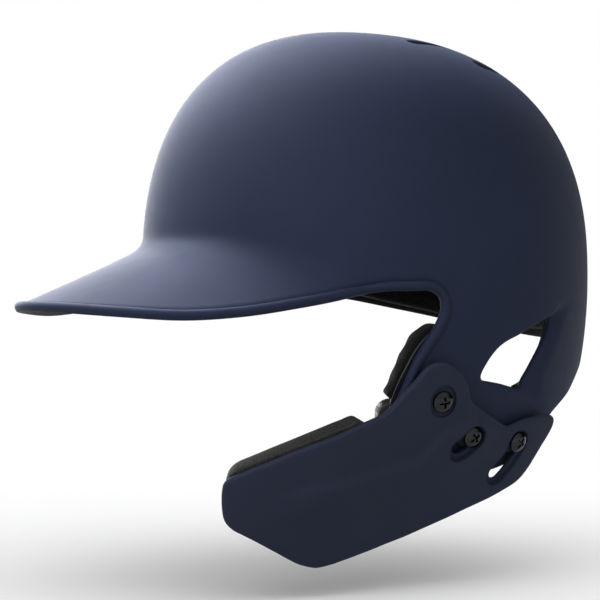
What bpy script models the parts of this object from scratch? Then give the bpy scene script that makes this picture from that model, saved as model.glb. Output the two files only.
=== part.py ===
"""Batting helmet with one ear flap and a jaw guard that tilts about its pivot screw.

Frame: metres, +Z up, the wearer faces -Y and the wearer's left is +X.  The origin is the middle of
the head opening, in the plane where the shell is widest.  Sizes below are in millimetres.

Most pieces are thin curved walls that follow one form, the outside of the shell.  That form is a
function of two flat coordinates, as if the shell were unrolled from its crown, so the outline of
each piece is a closed curve in that flat sheet and its faces are set off from the form.
"""
import bmesh
import bpy
import numpy as np
from math import cos, pi, radians, sin
from mathutils import Matrix, Vector
from mathutils.geometry import delaunay_2d_cdt

for old in list(bpy.data.objects):
    bpy.data.objects.remove(old)

MM = 0.001

# ---- driving dimensions of the form ------------------------------------------------------------
HALF_WIDTH = 102.0
HALF_LENGTH = 120.0
CROWN_HEIGHT = 126.5
CROWN_Y = -16.5             # the crown lies in front of the middle, so the dome tips back
PLAN_POWER = 2.13           # 2 is an ellipse seen from above, more is squarer
DOME_POWER = 2.44           # the same for the dome seen from the side
TUCK_RADIUS = 250.0         # how the wall curves inward below the widest plane

BRIM_HALF_WIDTH = 90.0
BRIM_HALF_LENGTH = 119.5
BRIM_CENTRE_Y = -75.0
BRIM_ROOT_FRONT = 22.0      # height where the dome turns into the brim, at the front
BRIM_ROOT_SIDE = 8.0        # and beside the temples
BRIM_FILLET_RISE = 6.0
BRIM_FILLET_RUN = 9.0
BRIM_FADE = (radians(56), radians(72))      # where the brim has melted into the wall
# height of the brim's edge along its length (y, z)
BRIM_EDGE = [(-196, -13.0), (-176, -15.4), (-152, -17.4), (-128, -16.2), (-98, -12.2),
             (-62, -7.2), (-38, -5.0), (-20, -4.4)]

# ---- walls -------------------------------------------------------------------------------------
SHELL_WALL = 3.0
RIM_LIP = 1.4               # the bead round the edge stands this proud
RIM_LIP_WIDTH = 5.0
LIP_FADE = (radians(92), radians(118))      # it runs out behind the ear
LINER_GAP = 0.8
LINER_WALL = 12.0
PATCH_GAP = 1.0
PATCH_WALL = 1.2
PAD_WALL = 7.0
FLAP_LINER_WALL = 9.0
GUARD_GAP = 2.4
GUARD_WALL = 3.6
GUARD_FLARE = 0.85          # mm that the guard leaves the form for each degree ahead of the flap
GUARD_FLARE_FROM = 70.0     # azimuth in degrees where it starts to
GUARD_FLARE_SOFTNESS = 8.0  # degrees over which the flare sets in

# ---- screws and slots --------------------------------------------------------------------------
PIVOT = (-25.0, -58.0)      # (y, z) of each screw on the flap
FRONT_SCREW = (-5.0, -75.5)
REAR_SCREW = (24.5, -79.5)
GUARD_TRAVEL = radians(20)
SHANK_RADIUS = 2.3
SHANK_BEYOND = 7.0          # how far the screw runs on inside the flap
HEAD_RADIUS = 5.3
HEAD_HEIGHT = 2.8
COUNTERBORE_RADIUS = 7.2
POCKET_RADIUS = 6.4
POCKET_DEPTH = 1.5
SLOT_RADIUS = 3.2           # half the width of each arc slot
PIVOT_HOLE_RADIUS = 2.8
NUT_BARREL_RADIUS = 3.9
NUT_BORE_RADIUS = 2.7
NUT_FLANGE_RADIUS = 6.5
NUT_FLANGE = 1.4
SHELL_HOLE_RADIUS = 4.3
SPACER_RADIUS = 6.5
SPACER_WALL = 1.2
CAP_STEPS = 6               # faces round each end of a slot


# ================================ the form ======================================================
def smoothstep(low, high, value):
    """0 below low, 1 above high, smooth between."""
    t = np.clip((value - low) / (high - low), 0.0, 1.0)
    return t * t * (3.0 - 2.0 * t)


def smooth_curve(points, per_span):
    """A closed smooth curve through the points, with per_span steps for each of them."""
    points = np.asarray(points, float)
    after = np.roll(points, -1, 0)
    span = np.linalg.norm(after - points, axis=1, keepdims=True)
    slope = (after - np.roll(points, 1, 0)) / (span + np.roll(span, 1, 0))
    leave, arrive = slope * span, np.roll(slope, -1, 0) * span
    steps = []
    for k in range(per_span):
        t = k / per_span
        steps.append(points + leave * t + (3 * (after - points) - 2 * leave - arrive) * t ** 2
                     + (2 * (points - after) + leave + arrive) * t ** 3)
    return np.stack(steps, 1).reshape(-1, points.shape[1])


def plan_radius(azimuth, half_width, half_length, centre_y, power):
    """Distance from the crown's axis to a superellipse, along each azimuth (0 is forward)."""
    along_x, along_y = np.sin(azimuth), -np.cos(azimuth)
    low, high = np.zeros_like(azimuth), np.full_like(azimuth, 400.0)
    for _ in range(36):
        middle = (low + high) / 2
        inside = (np.abs(middle * along_x / half_width) ** power
                  + np.abs((CROWN_Y + middle * along_y - centre_y) / half_length) ** power) < 1
        low, high = np.where(inside, middle, low), np.where(inside, high, middle)
    return (low + high) / 2


def shell_radius(azimuth):
    return plan_radius(azimuth, HALF_WIDTH, HALF_LENGTH, 0.0, PLAN_POWER)


def angle_of_height(z):
    """The angle from the crown at which the wall has height z; below z = 0 it counts depth."""
    up = np.clip(z / CROWN_HEIGHT, 0.0, 1.0)
    out = (1.0 - up ** DOME_POWER) ** (1.0 / DOME_POWER)
    return np.where(z > 0, np.arctan2(out, up), pi / 2 - z / CROWN_HEIGHT)


def wall_profile(azimuth, angle):
    """Radius and height of the dome, and of the tucked wall under it."""
    over = np.minimum(angle, pi / 2)
    depth = np.maximum(angle - pi / 2, 0.0) * CROWN_HEIGHT
    sine, cosine = np.sin(over), np.clip(np.cos(over), 0.0, 1.0)
    unit = (sine ** DOME_POWER + cosine ** DOME_POWER) ** (-1.0 / DOME_POWER)
    radius = shell_radius(azimuth) * sine * unit - depth ** 2 / (2 * TUCK_RADIUS)
    return radius, CROWN_HEIGHT * cosine * unit - depth


def brim_lines(azimuth):
    """Root, corner and edge of the brim's profile along each azimuth, and the angle at each end."""
    side = np.abs(azimuth)
    root_z = BRIM_ROOT_FRONT + (BRIM_ROOT_SIDE - BRIM_ROOT_FRONT) * smoothstep(0.25, 1.25, side)
    start = angle_of_height(root_z)
    root_r, _ = wall_profile(azimuth, start)
    edge_r = plan_radius(azimuth, BRIM_HALF_WIDTH, BRIM_HALF_LENGTH, BRIM_CENTRE_Y, 2.0)
    flat = shell_radius(azimuth)
    edge_r = 0.5 * (edge_r + flat + np.sqrt((edge_r - flat) ** 2 + 9.0))
    edge_y = CROWN_Y - edge_r * np.cos(azimuth)
    heights = np.array(BRIM_EDGE)
    edge_z = smooth_table(edge_y, heights[:, 0], heights[:, 1])
    corner_r = root_r + 0.4
    corner_z = root_z - BRIM_FILLET_RISE - 4.0 * smoothstep(0.4, 1.2, side)
    length = np.hypot(edge_r - corner_r, edge_z - corner_z) + root_z - corner_z
    return root_r, root_z, corner_r, corner_z, edge_r, edge_z, start, start + length / CROWN_HEIGHT


def smooth_table(x, xs, ys):
    """A smooth curve through a short table of points (cubic Hermite)."""
    slopes = np.gradient(ys, xs)
    k = np.clip(np.searchsorted(xs, x) - 1, 0, len(xs) - 2)
    width = xs[k + 1] - xs[k]
    t = np.clip((x - xs[k]) / width, 0.0, 1.0)
    return ((2 * t ** 3 - 3 * t ** 2 + 1) * ys[k] + (t ** 3 - 2 * t ** 2 + t) * width * slopes[k]
            + (3 * t ** 2 - 2 * t ** 3) * ys[k + 1] + (t ** 3 - t ** 2) * width * slopes[k + 1])


def brim_profile(azimuth, angle):
    """Radius and height past the brim's root: a rounded corner, then a straight slope."""
    root_r, root_z, corner_r, corner_z, edge_r, edge_z, start, end = brim_lines(azimuth)
    rise = root_z - corner_z
    slope = np.hypot(edge_r - corner_r, edge_z - corner_z)
    travelled = (angle - start) * CROWN_HEIGHT
    run = np.minimum(BRIM_FILLET_RUN, 0.6 * slope)
    t = np.clip(travelled / (rise + run), 0.0, 1.0)
    toward_r, toward_z = (edge_r - corner_r) / slope, (edge_z - corner_z) / slope
    past_r, past_z = corner_r + run * toward_r, corner_z + run * toward_z
    bend_r = (1 - t) ** 2 * root_r + 2 * t * (1 - t) * corner_r + t ** 2 * past_r
    bend_z = (1 - t) ** 2 * root_z + 2 * t * (1 - t) * corner_z + t ** 2 * past_z
    more = np.maximum(travelled - rise - run, 0.0)
    return bend_r + more * toward_r, bend_z + more * toward_z


def to_points(azimuth, radius, z):
    return np.stack([radius * np.sin(azimuth), CROWN_Y - radius * np.cos(azimuth), z], -1)


def sheet_coordinates(azimuth, angle):
    """Flat coordinates of the unrolled shell, in which angles between lines are kept."""
    spread = np.where(angle < pi / 2, np.tan(np.minimum(angle, pi / 2) / 2), np.exp(angle - pi / 2))
    return np.stack([spread * np.sin(azimuth), -spread * np.cos(azimuth)], -1)


def polar(sheet):
    spread = np.maximum(np.hypot(sheet[..., 0], sheet[..., 1]), 1e-9)
    angle = np.where(spread < 1, 2 * np.arctan(np.minimum(spread, 1.0)), pi / 2 + np.log(spread))
    return np.arctan2(sheet[..., 0], -sheet[..., 1]), angle


def wall_form(sheet):
    """The shell's outside without its brim."""
    azimuth, angle = polar(sheet)
    return to_points(azimuth, *wall_profile(azimuth, angle))


def shell_form(sheet):
    """The shell's outside: dome, walls and brim."""
    azimuth, angle = polar(sheet)
    wall_r, wall_z = wall_profile(azimuth, angle)
    brim_r, brim_z = brim_profile(azimuth, angle)
    start = brim_lines(azimuth)[6]
    share = np.where(angle > start, 1.0 - smoothstep(*BRIM_FADE, np.abs(azimuth)), 0.0)
    return to_points(azimuth, wall_r + share * (brim_r - wall_r), wall_z + share * (brim_z - wall_z))


def guard_form(sheet):
    """The flap's wall carried on forward round the jaw, leaving the form ahead of the flap."""
    azimuth, angle = polar(sheet)
    radius, z = wall_profile(azimuth, angle)
    ahead = GUARD_FLARE_FROM - np.degrees(azimuth)
    lead = 0.5 * (ahead + np.sqrt(ahead ** 2 + GUARD_FLARE_SOFTNESS ** 2))
    return to_points(azimuth, radius + GUARD_FLARE * lead, z)


def frame_at(form, sheet):
    """Point, outward normal and the two tangents of a form at each place in the sheet."""
    step = 1e-4 * np.maximum(np.hypot(sheet[..., 0], sheet[..., 1]), 0.05)[..., None]
    across, along = np.array([1.0, 0.0]), np.array([0.0, 1.0])
    d_u = (form(sheet + step * across) - form(sheet - step * across)) / (2 * step)
    d_v = (form(sheet + step * along) - form(sheet - step * along)) / (2 * step)
    normal = np.cross(d_u, d_v)
    return form(sheet), normal / np.linalg.norm(normal, axis=-1, keepdims=True), d_u, d_v


def on_wall(y_z):
    """Sheet coordinates of points given by y and z on the left wall."""
    places = []
    for y, z in y_z:
        angle = float(angle_of_height(np.array(z, float)))
        low, high = 0.05, pi - 0.02
        for _ in range(40):
            middle = (low + high) / 2
            radius, _ = wall_profile(np.array([middle]), np.array([angle]))
            ahead = CROWN_Y - float(radius[0]) * cos(middle) < y
            low, high = (middle, high) if ahead else (low, middle)
        places.append(((low + high) / 2, angle))
    places = np.array(places)
    return sheet_coordinates(places[:, 0], places[:, 1])


def on_top(x_y):
    """Sheet coordinates of points on the dome seen from above."""
    x, y = np.asarray(x_y, float).T
    azimuth = np.arctan2(x, -(y - CROWN_Y))
    share = np.clip(np.hypot(x, y - CROWN_Y) / shell_radius(azimuth), 0.0, 0.999)
    return sheet_coordinates(azimuth, np.arctan2(share, (1 - share ** DOME_POWER) ** (1 / DOME_POWER)))


# ================================ outlines ======================================================
def resample(form, loop, spacing):
    """The same closed loop with even steps of about `spacing` millimetres on the form."""
    points = form(loop)
    lengths = np.linalg.norm(np.roll(points, -1, 0) - points, axis=1)
    total = np.concatenate([[0.0], np.cumsum(lengths)])
    count = max(8, int(round(total[-1] / spacing)))
    wanted = np.arange(count) * total[-1] / count
    closed = np.vstack([loop, loop[:1]])
    return np.stack([np.interp(wanted, total, closed[:, k]) for k in range(2)], 1)


def signed_area(loop):
    following = np.roll(loop, -1, 0)
    return 0.5 * np.sum(loop[:, 0] * following[:, 1] - following[:, 0] * loop[:, 1])


def inside(loop, points):
    """Which points lie inside a closed loop."""
    result = np.zeros(len(points), bool)
    for (x0, y0), (x1, y1) in zip(loop, np.roll(loop, -1, 0)):
        if y0 == y1:
            continue
        crosses = (y0 > points[:, 1]) != (y1 > points[:, 1])
        result ^= crosses & (points[:, 0] < (x1 - x0) * (points[:, 1] - y0) / (y1 - y0) + x0)
    return result


def inset(form, loop, distance):
    """A loop moved into the material (to the left of its direction) by a distance on the form."""
    tangent = np.roll(loop, -1, 0) - np.roll(loop, 1, 0)
    _, _, d_u, d_v = frame_at(form, loop)
    e, f, g = (d_u * d_u).sum(-1), (d_u * d_v).sum(-1), (d_v * d_v).sum(-1)
    turned = np.stack([-tangent[:, 1], tangent[:, 0]], 1)
    inward = np.stack([g * turned[:, 0] - f * turned[:, 1], e * turned[:, 1] - f * turned[:, 0]], 1)
    size = np.sqrt(e * inward[:, 0] ** 2 + 2 * f * inward[:, 0] * inward[:, 1] + g * inward[:, 1] ** 2)
    return loop + distance * inward / size[:, None]


def round_hole(form, centre, radius, count):
    """A circle of a real radius about one place in the sheet."""
    _, _, d_u, d_v = frame_at(form, centre[None])
    scale = np.sqrt(np.linalg.norm(np.cross(d_u[0], d_v[0])))
    turn = np.arange(count) * 2 * pi / count
    return centre + radius / scale * np.stack([np.cos(turn), np.sin(turn)], 1)


def around(azimuth_z):
    """Sheet coordinates of points on the wall given by azimuth in degrees and z."""
    azimuth, z = np.asarray(azimuth_z, float).T
    return sheet_coordinates(np.radians(azimuth), angle_of_height(z))


def rim_outline():
    """The shell's whole edge: brim, face opening, ear flap, nape and the bare right side."""
    azimuth = np.radians(np.arange(-66, 67, 3.0))
    brim = sheet_coordinates(azimuth, brim_lines(azimuth)[7])
    flap = on_wall([(-42, -6.2), (-32, -6.3), (-27.2, -9.5), (-26.2, -15), (-28.3, -21), (-33, -29),
                    (-38, -38), (-42, -49), (-45.5, -62), (-46.5, -76), (-42, -88), (-32, -95),
                    (-15, -98), (4, -97), (18, -95), (30, -91.5), (40, -85.5), (48, -78), (56, -69.5)])
    nape = around([(139.5, -60), (145, -51), (152, -44), (161, -38), (172, -34.5), (183, -32.5),
                   (194, -29.5), (206, -25), (220, -18.5), (234, -12.5), (248, -8.5), (264, -6.5),
                   (279, -5.6)])
    return np.vstack([brim, flap, nape])


def ear_hole_outline():
    """Rounded four-sided ear opening with a curved upper edge."""
    return on_wall([(1.4, -50.2), (-0.8, -47.8), (2.7, -40.8), (7.7, -35), (12.6, -31.7), (22, -28),
                    (34, -23.3), (45.5, -19.2), (48.6, -20.4), (48.2, -24.6), (45.5, -30.2),
                    (39, -40.3), (32.8, -50), (30, -54), (26, -55), (15.5, -52.8)])


# x, y, half length and half width of a slot on the dome, and how far it turns inward to the rear
VENTS = [(40.5, 10.0, 15.5, 2.8, radians(14)), (52.0, 38.5, 10.5, 2.8, radians(18))]


def vent_outline(vent, side):
    """A slot that runs front to back on the dome, with round ends."""
    x, y, half_length, half_width, turn_in = vent
    turn = np.arange(16) * 2 * pi / 16 + pi / 16
    across = half_width * np.cos(turn)
    along = np.where(np.sin(turn) > 0, 1.0, -1.0) * (half_length - half_width)
    along = along + half_width * np.sin(turn)
    right = x + across * cos(turn_in) - along * sin(turn_in)
    back = y + across * sin(turn_in) + along * cos(turn_in)
    return on_top(np.stack([side * right, back], 1))


def guard_outline():
    """The jaw guard: a hump over the pivot screw, a notch, a short rear tip and a long blade."""
    return guard_places([(-49, -56.6), (-41.6, -48.9), (-34.7, -41.4), (-28.6, -39.4),
                         (-22.4, -40.9), (-14.8, -46.7), (-11.5, -52.3), (-9, -58), (-1.7, -62.8),
                         (7.2, -67.5), (15.5, -71.5), (20, -70.8), (27, -68.9), (42, -67.4),
                         (48, -67.8), (50.2, -70.4), (49, -74.8), (43.1, -83), (35.8, -94),
                         (30.4, -99.4), (23, -103.1), (12.6, -107.3), (0, -111.8),
                         (-10.5, -115.9), (-21.5, -120.2), (-31.8, -124.3), (-44.1, -128.1),
                         (-55.8, -131.3), (-66, -134.2), (-72, -135.6), (-77, -135.9),
                         (-87, -132.4), (-113, -117.2), (-117.8, -112.8), (-120.3, -107),
                         (-122.4, -95), (-121, -91.8), (-115, -88.2), (-103.7, -82.4),
                         (-81.3, -73.3), (-65, -66.6), (-55.5, -62.6)])


def guard_places(y_z):
    """Sheet coordinates of points given by y and z on the guard's own form."""
    places = []
    for y, z in y_z:
        angle = pi / 2 - z / CROWN_HEIGHT
        low, high = 0.05, pi - 0.02
        for _ in range(40):
            middle = (low + high) / 2
            point = guard_form(sheet_coordinates(np.array([middle]), np.array([angle])))[0]
            low, high = (middle, high) if point[1] < y else (low, middle)
        places.append(((low + high) / 2, angle))
    places = np.array(places)
    return sheet_coordinates(places[:, 0], places[:, 1])


# ================================ curved walls ==================================================
AWAY_FROM_EDGE = 1000.0     # the distance given to points that no edge feature should reach
EDGE_CLEARANCE = 0.62       # how far inner points keep from an edge, as a share of their spacing


def fill_points(form, outer, holes, spacing):
    """Places for inner mesh points: rings round the crown, kept a little clear of every edge."""
    farthest = np.hypot(*outer.T).max()
    points, angle, row = [np.zeros((1, 2))], spacing / CROWN_HEIGHT, 0
    while np.hypot(*sheet_coordinates(0.0, np.array(angle))) < farthest:
        count = max(6, int(round(2 * pi * HALF_WIDTH * sin(min(angle, pi / 2)) / spacing)))
        turn = (np.arange(count) + 0.5 * (row % 2)) * 2 * pi / count
        points.append(sheet_coordinates(turn, np.full(count, angle)))
        angle += 0.9 * spacing / CROWN_HEIGHT
        row += 1
    points = np.vstack(points)
    keep = inside(outer, points)
    for hole in holes:
        keep &= ~inside(hole, points)
    points = points[keep]
    position = form(points)
    for loop in [outer, *holes]:
        edge = form(loop)
        nearest = np.full(len(points), np.inf)
        for corner in edge:
            nearest = np.minimum(nearest, np.linalg.norm(position - corner, axis=1))
        keep = nearest > EDGE_CLEARANCE * spacing
        points, position = points[keep], position[keep]
    return points


def curved_wall(name, form, outline, holes, outside, inner, spacing, edge_spacing, rows=(0.0,)):
    """A closed wall over a form, between two offsets along its normal, with an outline and holes.

    outside and inner are offsets in millimetres: numbers, or functions of the distance from the
    outline and of the place.  rows are the distances from each edge at which a row of points runs.
    """
    loops = []
    for k, loop in enumerate([outline, *holes]):
        loop = resample(form, loop, edge_spacing)
        if (signed_area(loop) > 0) == (k > 0):
            loop = loop[::-1]
        loops.append(loop)
    sheet, distance, bands = [], [], []
    count = 0
    for loop in loops:
        band = []
        for row in rows:
            sheet.append(inset(form, loop, row) if row else loop)
            distance.append(np.full(len(loop), row if loop is loops[0] else AWAY_FROM_EDGE))
            band.append(np.arange(count, count + len(loop)))
            count += len(loop)
        bands.append(band)
    last = [sheet[sum(len(b) for b in bands[:k + 1]) - 1] for k in range(len(loops))]
    middle = fill_points(form, last[0], last[1:], spacing)
    sheet.append(middle)
    distance.append(np.full(len(middle), AWAY_FROM_EDGE))
    sheet, distance = np.vstack(sheet), np.concatenate(distance)

    faces = []
    for band in bands:
        for lower, upper in zip(band, band[1:]):
            for a, b in zip(range(len(lower)), np.roll(np.arange(len(lower)), -1)):
                faces.append((lower[a], lower[b], upper[b], upper[a]))
    index = [i for band in bands for i in band[-1]] + list(range(count, len(sheet)))
    edges, start = [], 0
    for band in bands:
        size = len(band[-1])
        edges += [(start + i, start + (i + 1) % size) for i in range(size)]
        start += size
    cut = delaunay_2d_cdt([Vector(sheet[i]) for i in index], edges, [], 1, 1e-7)
    if len(cut[0]) != len(index):
        raise ValueError(f"{name}: its outlines cross")
    triangles = np.array([[index[cut[3][i][0]] for i in face] for face in cut[2]])
    centres = sheet[triangles].mean(1)
    keep = inside(last[0], centres)
    for hole in last[1:]:
        keep &= ~inside(hole, centres)
    faces += [tuple(face) for face in triangles[keep]]

    point, normal, _, _ = frame_at(form, sheet)
    top = outside(distance, sheet) if callable(outside) else np.full(len(sheet), float(outside))
    low = inner(distance, sheet) if callable(inner) else np.full(len(sheet), float(inner))
    vertices = np.vstack([point + normal * top[:, None], point + normal * low[:, None]])
    size = len(sheet)
    solid = [tuple(int(i) for i in face) for face in faces]
    solid += [tuple(int(i) + size for i in reversed(face)) for face in faces]
    for band in bands:
        edge = band[0]
        for a, b in zip(edge, np.roll(edge, -1)):
            solid.append((int(a), int(a) + size, int(b) + size, int(b)))
    return make_object(name, vertices, solid)


def make_object(name, vertices, faces):
    """A mesh object from millimetre points; loose points are dropped."""
    mesh = bpy.data.meshes.new(name)
    mesh.from_pydata([tuple(v * MM) for v in vertices], [], faces)
    tidy = bmesh.new()
    tidy.from_mesh(mesh)
    bmesh.ops.delete(tidy, geom=[v for v in tidy.verts if not v.link_faces], context="VERTS")
    bmesh.ops.recalc_face_normals(tidy, faces=tidy.faces)
    tidy.to_mesh(mesh)
    tidy.free()
    mesh.shade_smooth()
    mesh.set_sharp_from_angle(angle=radians(40))
    thing = bpy.data.objects.new(name, mesh)
    bpy.context.scene.collection.objects.link(thing)
    return thing


# ================================ shell =========================================================
RECESS_DEPTH = 3.4
RECESS_SLOPE = 10.0         # how far the hollow takes to rise to its soft edge
# the sharp upper edge of the hollow round the ear hole, then its soft rear and lower edge (y, z)
RECESS_CREASE = [(0, -47), (7.7, -35), (22, -28), (46, -19), (58, -13), (73, -6.5)]
RECESS_SOFT = [(58, -21), (53, -31), (47, -41), (42.5, -50), (43, -57), (46, -64), (34, -62),
               (20, -58.8), (4, -55), (-2, -52)]


def distance_to_line(points, line):
    """Distance from each point to a polyline in a plane."""
    best = np.full(len(points), np.inf)
    for start, end in zip(line[:-1], line[1:]):
        along = end - start
        t = np.clip(((points - start) @ along) / (along @ along), 0.0, 1.0)
        best = np.minimum(best, np.linalg.norm(points - start - t[:, None] * along, axis=1))
    return best


def recess(sheet):
    """How deep the hollow round the ear hole is at each place."""
    point = wall_form(sheet)
    side = point[:, 1:]
    crease, soft = np.array(RECESS_CREASE, float), np.array(RECESS_SOFT, float)
    within = inside(np.vstack([crease, soft]), side) & (point[:, 0] > 0)
    from_soft = distance_to_line(side, np.vstack([crease[-1:], soft, crease[:1]]))
    from_crease = distance_to_line(side, crease)
    depth = RECESS_DEPTH * smoothstep(0, RECESS_SLOPE, from_soft) * smoothstep(-0.5, 2.0, from_crease)
    return np.where(within, depth, 0.0)


def shell_outside(distance, sheet):
    lip = RIM_LIP * (1.0 - smoothstep(RIM_LIP_WIDTH - 1.0, RIM_LIP_WIDTH + 1.5, distance))
    azimuth, _ = polar(sheet)
    lip = lip * (1.0 - smoothstep(*LIP_FADE, np.abs(azimuth)))
    return lip - recess(sheet)


def shell_inside(distance, sheet):
    return -SHELL_WALL - recess(sheet)


def add_shell():
    """The hard shell: dome, brim, ear flap, ear hole, vent slots and the holes for the nuts."""
    rim = smooth_curve(rim_outline(), 3)
    holes = [smooth_curve(ear_hole_outline(), 4)]
    holes += [vent_outline(vent, side) for vent in VENTS for side in (-1, 1)]
    shell = curved_wall("outer_shell", shell_form, rim, holes, shell_outside, shell_inside,
                        12.5, 6.0, (0.0, RIM_LIP_WIDTH, RIM_LIP_WIDTH + 2.0))
    for name, (place, normal, _) in SCREWS.items():
        cutter = round_cutter(f"cut_shell_{name}", place, normal, SHELL_HOLE_RADIUS, 12.0)
        cut(shell, cutter)
    return shell


# ================================ screws, nuts, spacers =========================================
def screw_seat(y_z):
    """Point on the guard's form, outward direction, and point on the flap, of a screw."""
    place = on_wall([y_z])
    point, normal, _, _ = frame_at(guard_form, place)
    return point[0], normal[0], wall_form(place)[0]


SCREWS = {"pivot": screw_seat(PIVOT), "front_slot": screw_seat(FRONT_SCREW),
          "rear_slot": screw_seat(REAR_SCREW)}
HEAD_SEAT = GUARD_GAP + GUARD_WALL - POCKET_DEPTH + 0.35


def axes_along(normal, point):
    """Placement whose local Z runs along a direction from a millimetre point."""
    turn = Vector(normal).to_track_quat("Z", "Y")
    return Matrix.Translation(Vector(point) * MM) @ turn.to_matrix().to_4x4()


def turned(name, profile, segments, point, normal):
    """A closed turned solid from (radius, height) points, running up its axis or round its wall."""
    vertices, faces, rings = [], [], []
    for radius, height in profile:
        if radius < 1e-6:
            rings.append([len(vertices)])
            vertices.append((0.0, 0.0, height))
            continue
        rings.append(list(range(len(vertices), len(vertices) + segments)))
        for k in range(segments):
            turn = 2 * pi * k / segments
            vertices.append((radius * cos(turn), radius * sin(turn), height))
    closed = profile[0][0] > 1e-6
    pairs = list(zip(rings, rings[1:])) + ([(rings[-1], rings[0])] if closed else [])
    for low, high in pairs:
        for k in range(segments):
            following = (k + 1) % segments
            corners = [low[k % len(low)], low[following % len(low)],
                       high[following % len(high)], high[k % len(high)]]
            faces.append(tuple(dict.fromkeys(corners)))
    thing = make_object(name, np.array(vertices), faces)
    thing.matrix_world = axes_along(normal, point)
    return thing


def as_cutter(thing):
    thing.hide_render = True
    thing.display_type = "WIRE"
    return thing


def cut(target, cutter):
    modifier = target.modifiers.new(cutter.name, "BOOLEAN")
    modifier.operation = "DIFFERENCE"
    modifier.object = cutter


def round_cutter(name, point, normal, radius, reach, low=None):
    """A cylinder along a normal, from `low` (or minus reach) to reach past the point."""
    low = -reach if low is None else low
    profile = [(0.0, low), (radius, low), (radius, reach), (0.0, reach)]
    return as_cutter(turned(name, profile, 20, point, normal))


def seen_from_guard(name, steps=6):
    """Each slot screw's place and direction as the guard sees them while it tilts."""
    pivot, axis = (Vector(v) for v in SCREWS["pivot"][:2])
    place, normal = (Vector(v) for v in SCREWS[name][:2])
    turns = [Matrix.Rotation(-GUARD_TRAVEL * k / steps, 3, axis) for k in range(steps + 1)]
    return [(pivot + turn @ (place - pivot), turn @ normal) for turn in turns]


def slot_cutter(name, screw, radius, low, high):
    """A prism with round ends along a screw's arc; its floor stays square to the screw all along."""
    seats = seen_from_guard(screw)
    middle = sum((place for place, _ in seats), Vector()) / len(seats)
    placement = axes_along(SCREWS[screw][1], middle)
    into = placement.to_3x3().inverted()
    flat = [into @ (place - middle) for place, _ in seats]
    ways = [into @ normal for _, normal in seats]
    last = len(flat) - 1
    rim = []
    for side in (1, -1):
        order = list(range(last + 1))[::side]
        for k in order:
            ahead = flat[min(k + 1, last)] - flat[max(k - 1, 0)]
            across = Vector((ahead.y, -ahead.x)).normalized() * radius * side
            rim.append((flat[k].x + across.x, flat[k].y + across.y, k))
        tip = flat[order[-1]]
        heading = (tip - flat[order[-2]]).to_2d().normalized()
        for step in range(1, CAP_STEPS):
            reach = Matrix.Rotation(pi * step / CAP_STEPS - pi / 2, 2) @ heading * radius
            rim.append((tip.x + reach.x, tip.y + reach.y, order[-1]))
    floor = []
    for x, y, k in rim:
        base = flat[k] + ways[k] * low
        tilt = ways[k].x * (x - base.x) + ways[k].y * (y - base.y)
        floor.append((x, y, base.z - tilt / ways[k].z))
    count = len(rim)
    vertices = floor + [(x, y, high) for x, y, _ in rim]
    faces = [tuple(range(count, 2 * count))]
    faces += [(k, (k + 1) % count, (k + 1) % count + count, k + count) for k in range(count)]
    back = last + CAP_STEPS
    faces += [(k + 1, k, back + last - k, back + last - k - 1) for k in range(last)]
    faces += [tuple(range(back, last - 1, -1)), (0, *range(count - 1, back + last - 1, -1))]
    thing = make_object(name, np.array(vertices), faces)
    thing.matrix_world = placement
    return as_cutter(thing)


def add_screw(name, point, normal):
    """Pan head screw with a cross recess; its underside rests on the guard's pocket floor."""
    shank_end = -(HEAD_SEAT + SHELL_WALL + SHANK_BEYOND)
    rise = HEAD_HEIGHT
    profile = [(0.0, shank_end), (SHANK_RADIUS * 0.8, shank_end), (SHANK_RADIUS, shank_end + 0.7),
               (SHANK_RADIUS, 0.0), (HEAD_RADIUS, 0.0), (HEAD_RADIUS, rise * 0.35)]
    for k in range(1, 4):
        lean = pi / 2 * k / 4
        profile.append((HEAD_RADIUS * (0.55 + 0.45 * cos(lean)), rise * (0.35 + 0.6 * sin(lean))))
    profile.append((0.0, rise))
    seat = np.array(point) + np.array(normal) * HEAD_SEAT
    screw = turned(f"guard_{name}_screw", profile, 20, seat, normal)
    for k in range(2):
        blade = cross_cutter(f"cut_{name}_cross_{k}", seat, normal, pi / 4 + k * pi / 2)
        cut(screw, blade)
    return screw


def cross_cutter(name, point, normal, turn):
    """One tapered blade of the cross recess."""
    long, thin, low, high = 2.7, 0.55, HEAD_HEIGHT - 1.7, HEAD_HEIGHT + 0.6
    vertices = [(sx * long * (0.45 if z == low else 1.0), sy * thin, z)
                for z in (low, high) for sx in (-1, 1) for sy in (-1, 1)]
    faces = [(0, 2, 3, 1), (4, 5, 7, 6), (0, 1, 5, 4), (2, 6, 7, 3), (0, 4, 6, 2), (1, 3, 7, 5)]
    thing = make_object(name, np.array(vertices), faces)
    thing.matrix_world = axes_along(normal, point) @ Matrix.Rotation(turn, 4, "Z")
    return as_cutter(thing)


def add_nut(name, point, normal):
    """Flanged T-nut: the flange lies inside the flap and the barrel stands in the shell's hole."""
    flange_top = -SHELL_WALL - 0.9
    profile = [(NUT_BORE_RADIUS, flange_top - NUT_FLANGE), (NUT_FLANGE_RADIUS, flange_top - NUT_FLANGE),
               (NUT_FLANGE_RADIUS, flange_top), (NUT_BARREL_RADIUS, flange_top),
               (NUT_BARREL_RADIUS, -0.3), (NUT_BORE_RADIUS, -0.3)]
    return turned(f"{name}_nut", profile, 20, point, normal)


def add_spacer(name, point, normal):
    """Rubber washer that keeps the guard off the flap."""
    low = (GUARD_GAP - SPACER_WALL) / 2
    profile = [(NUT_BORE_RADIUS, low), (SPACER_RADIUS, low),
               (SPACER_RADIUS, low + SPACER_WALL), (NUT_BORE_RADIUS, low + SPACER_WALL)]
    return turned(f"{name}_spacer", profile, 24, point, normal)


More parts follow.
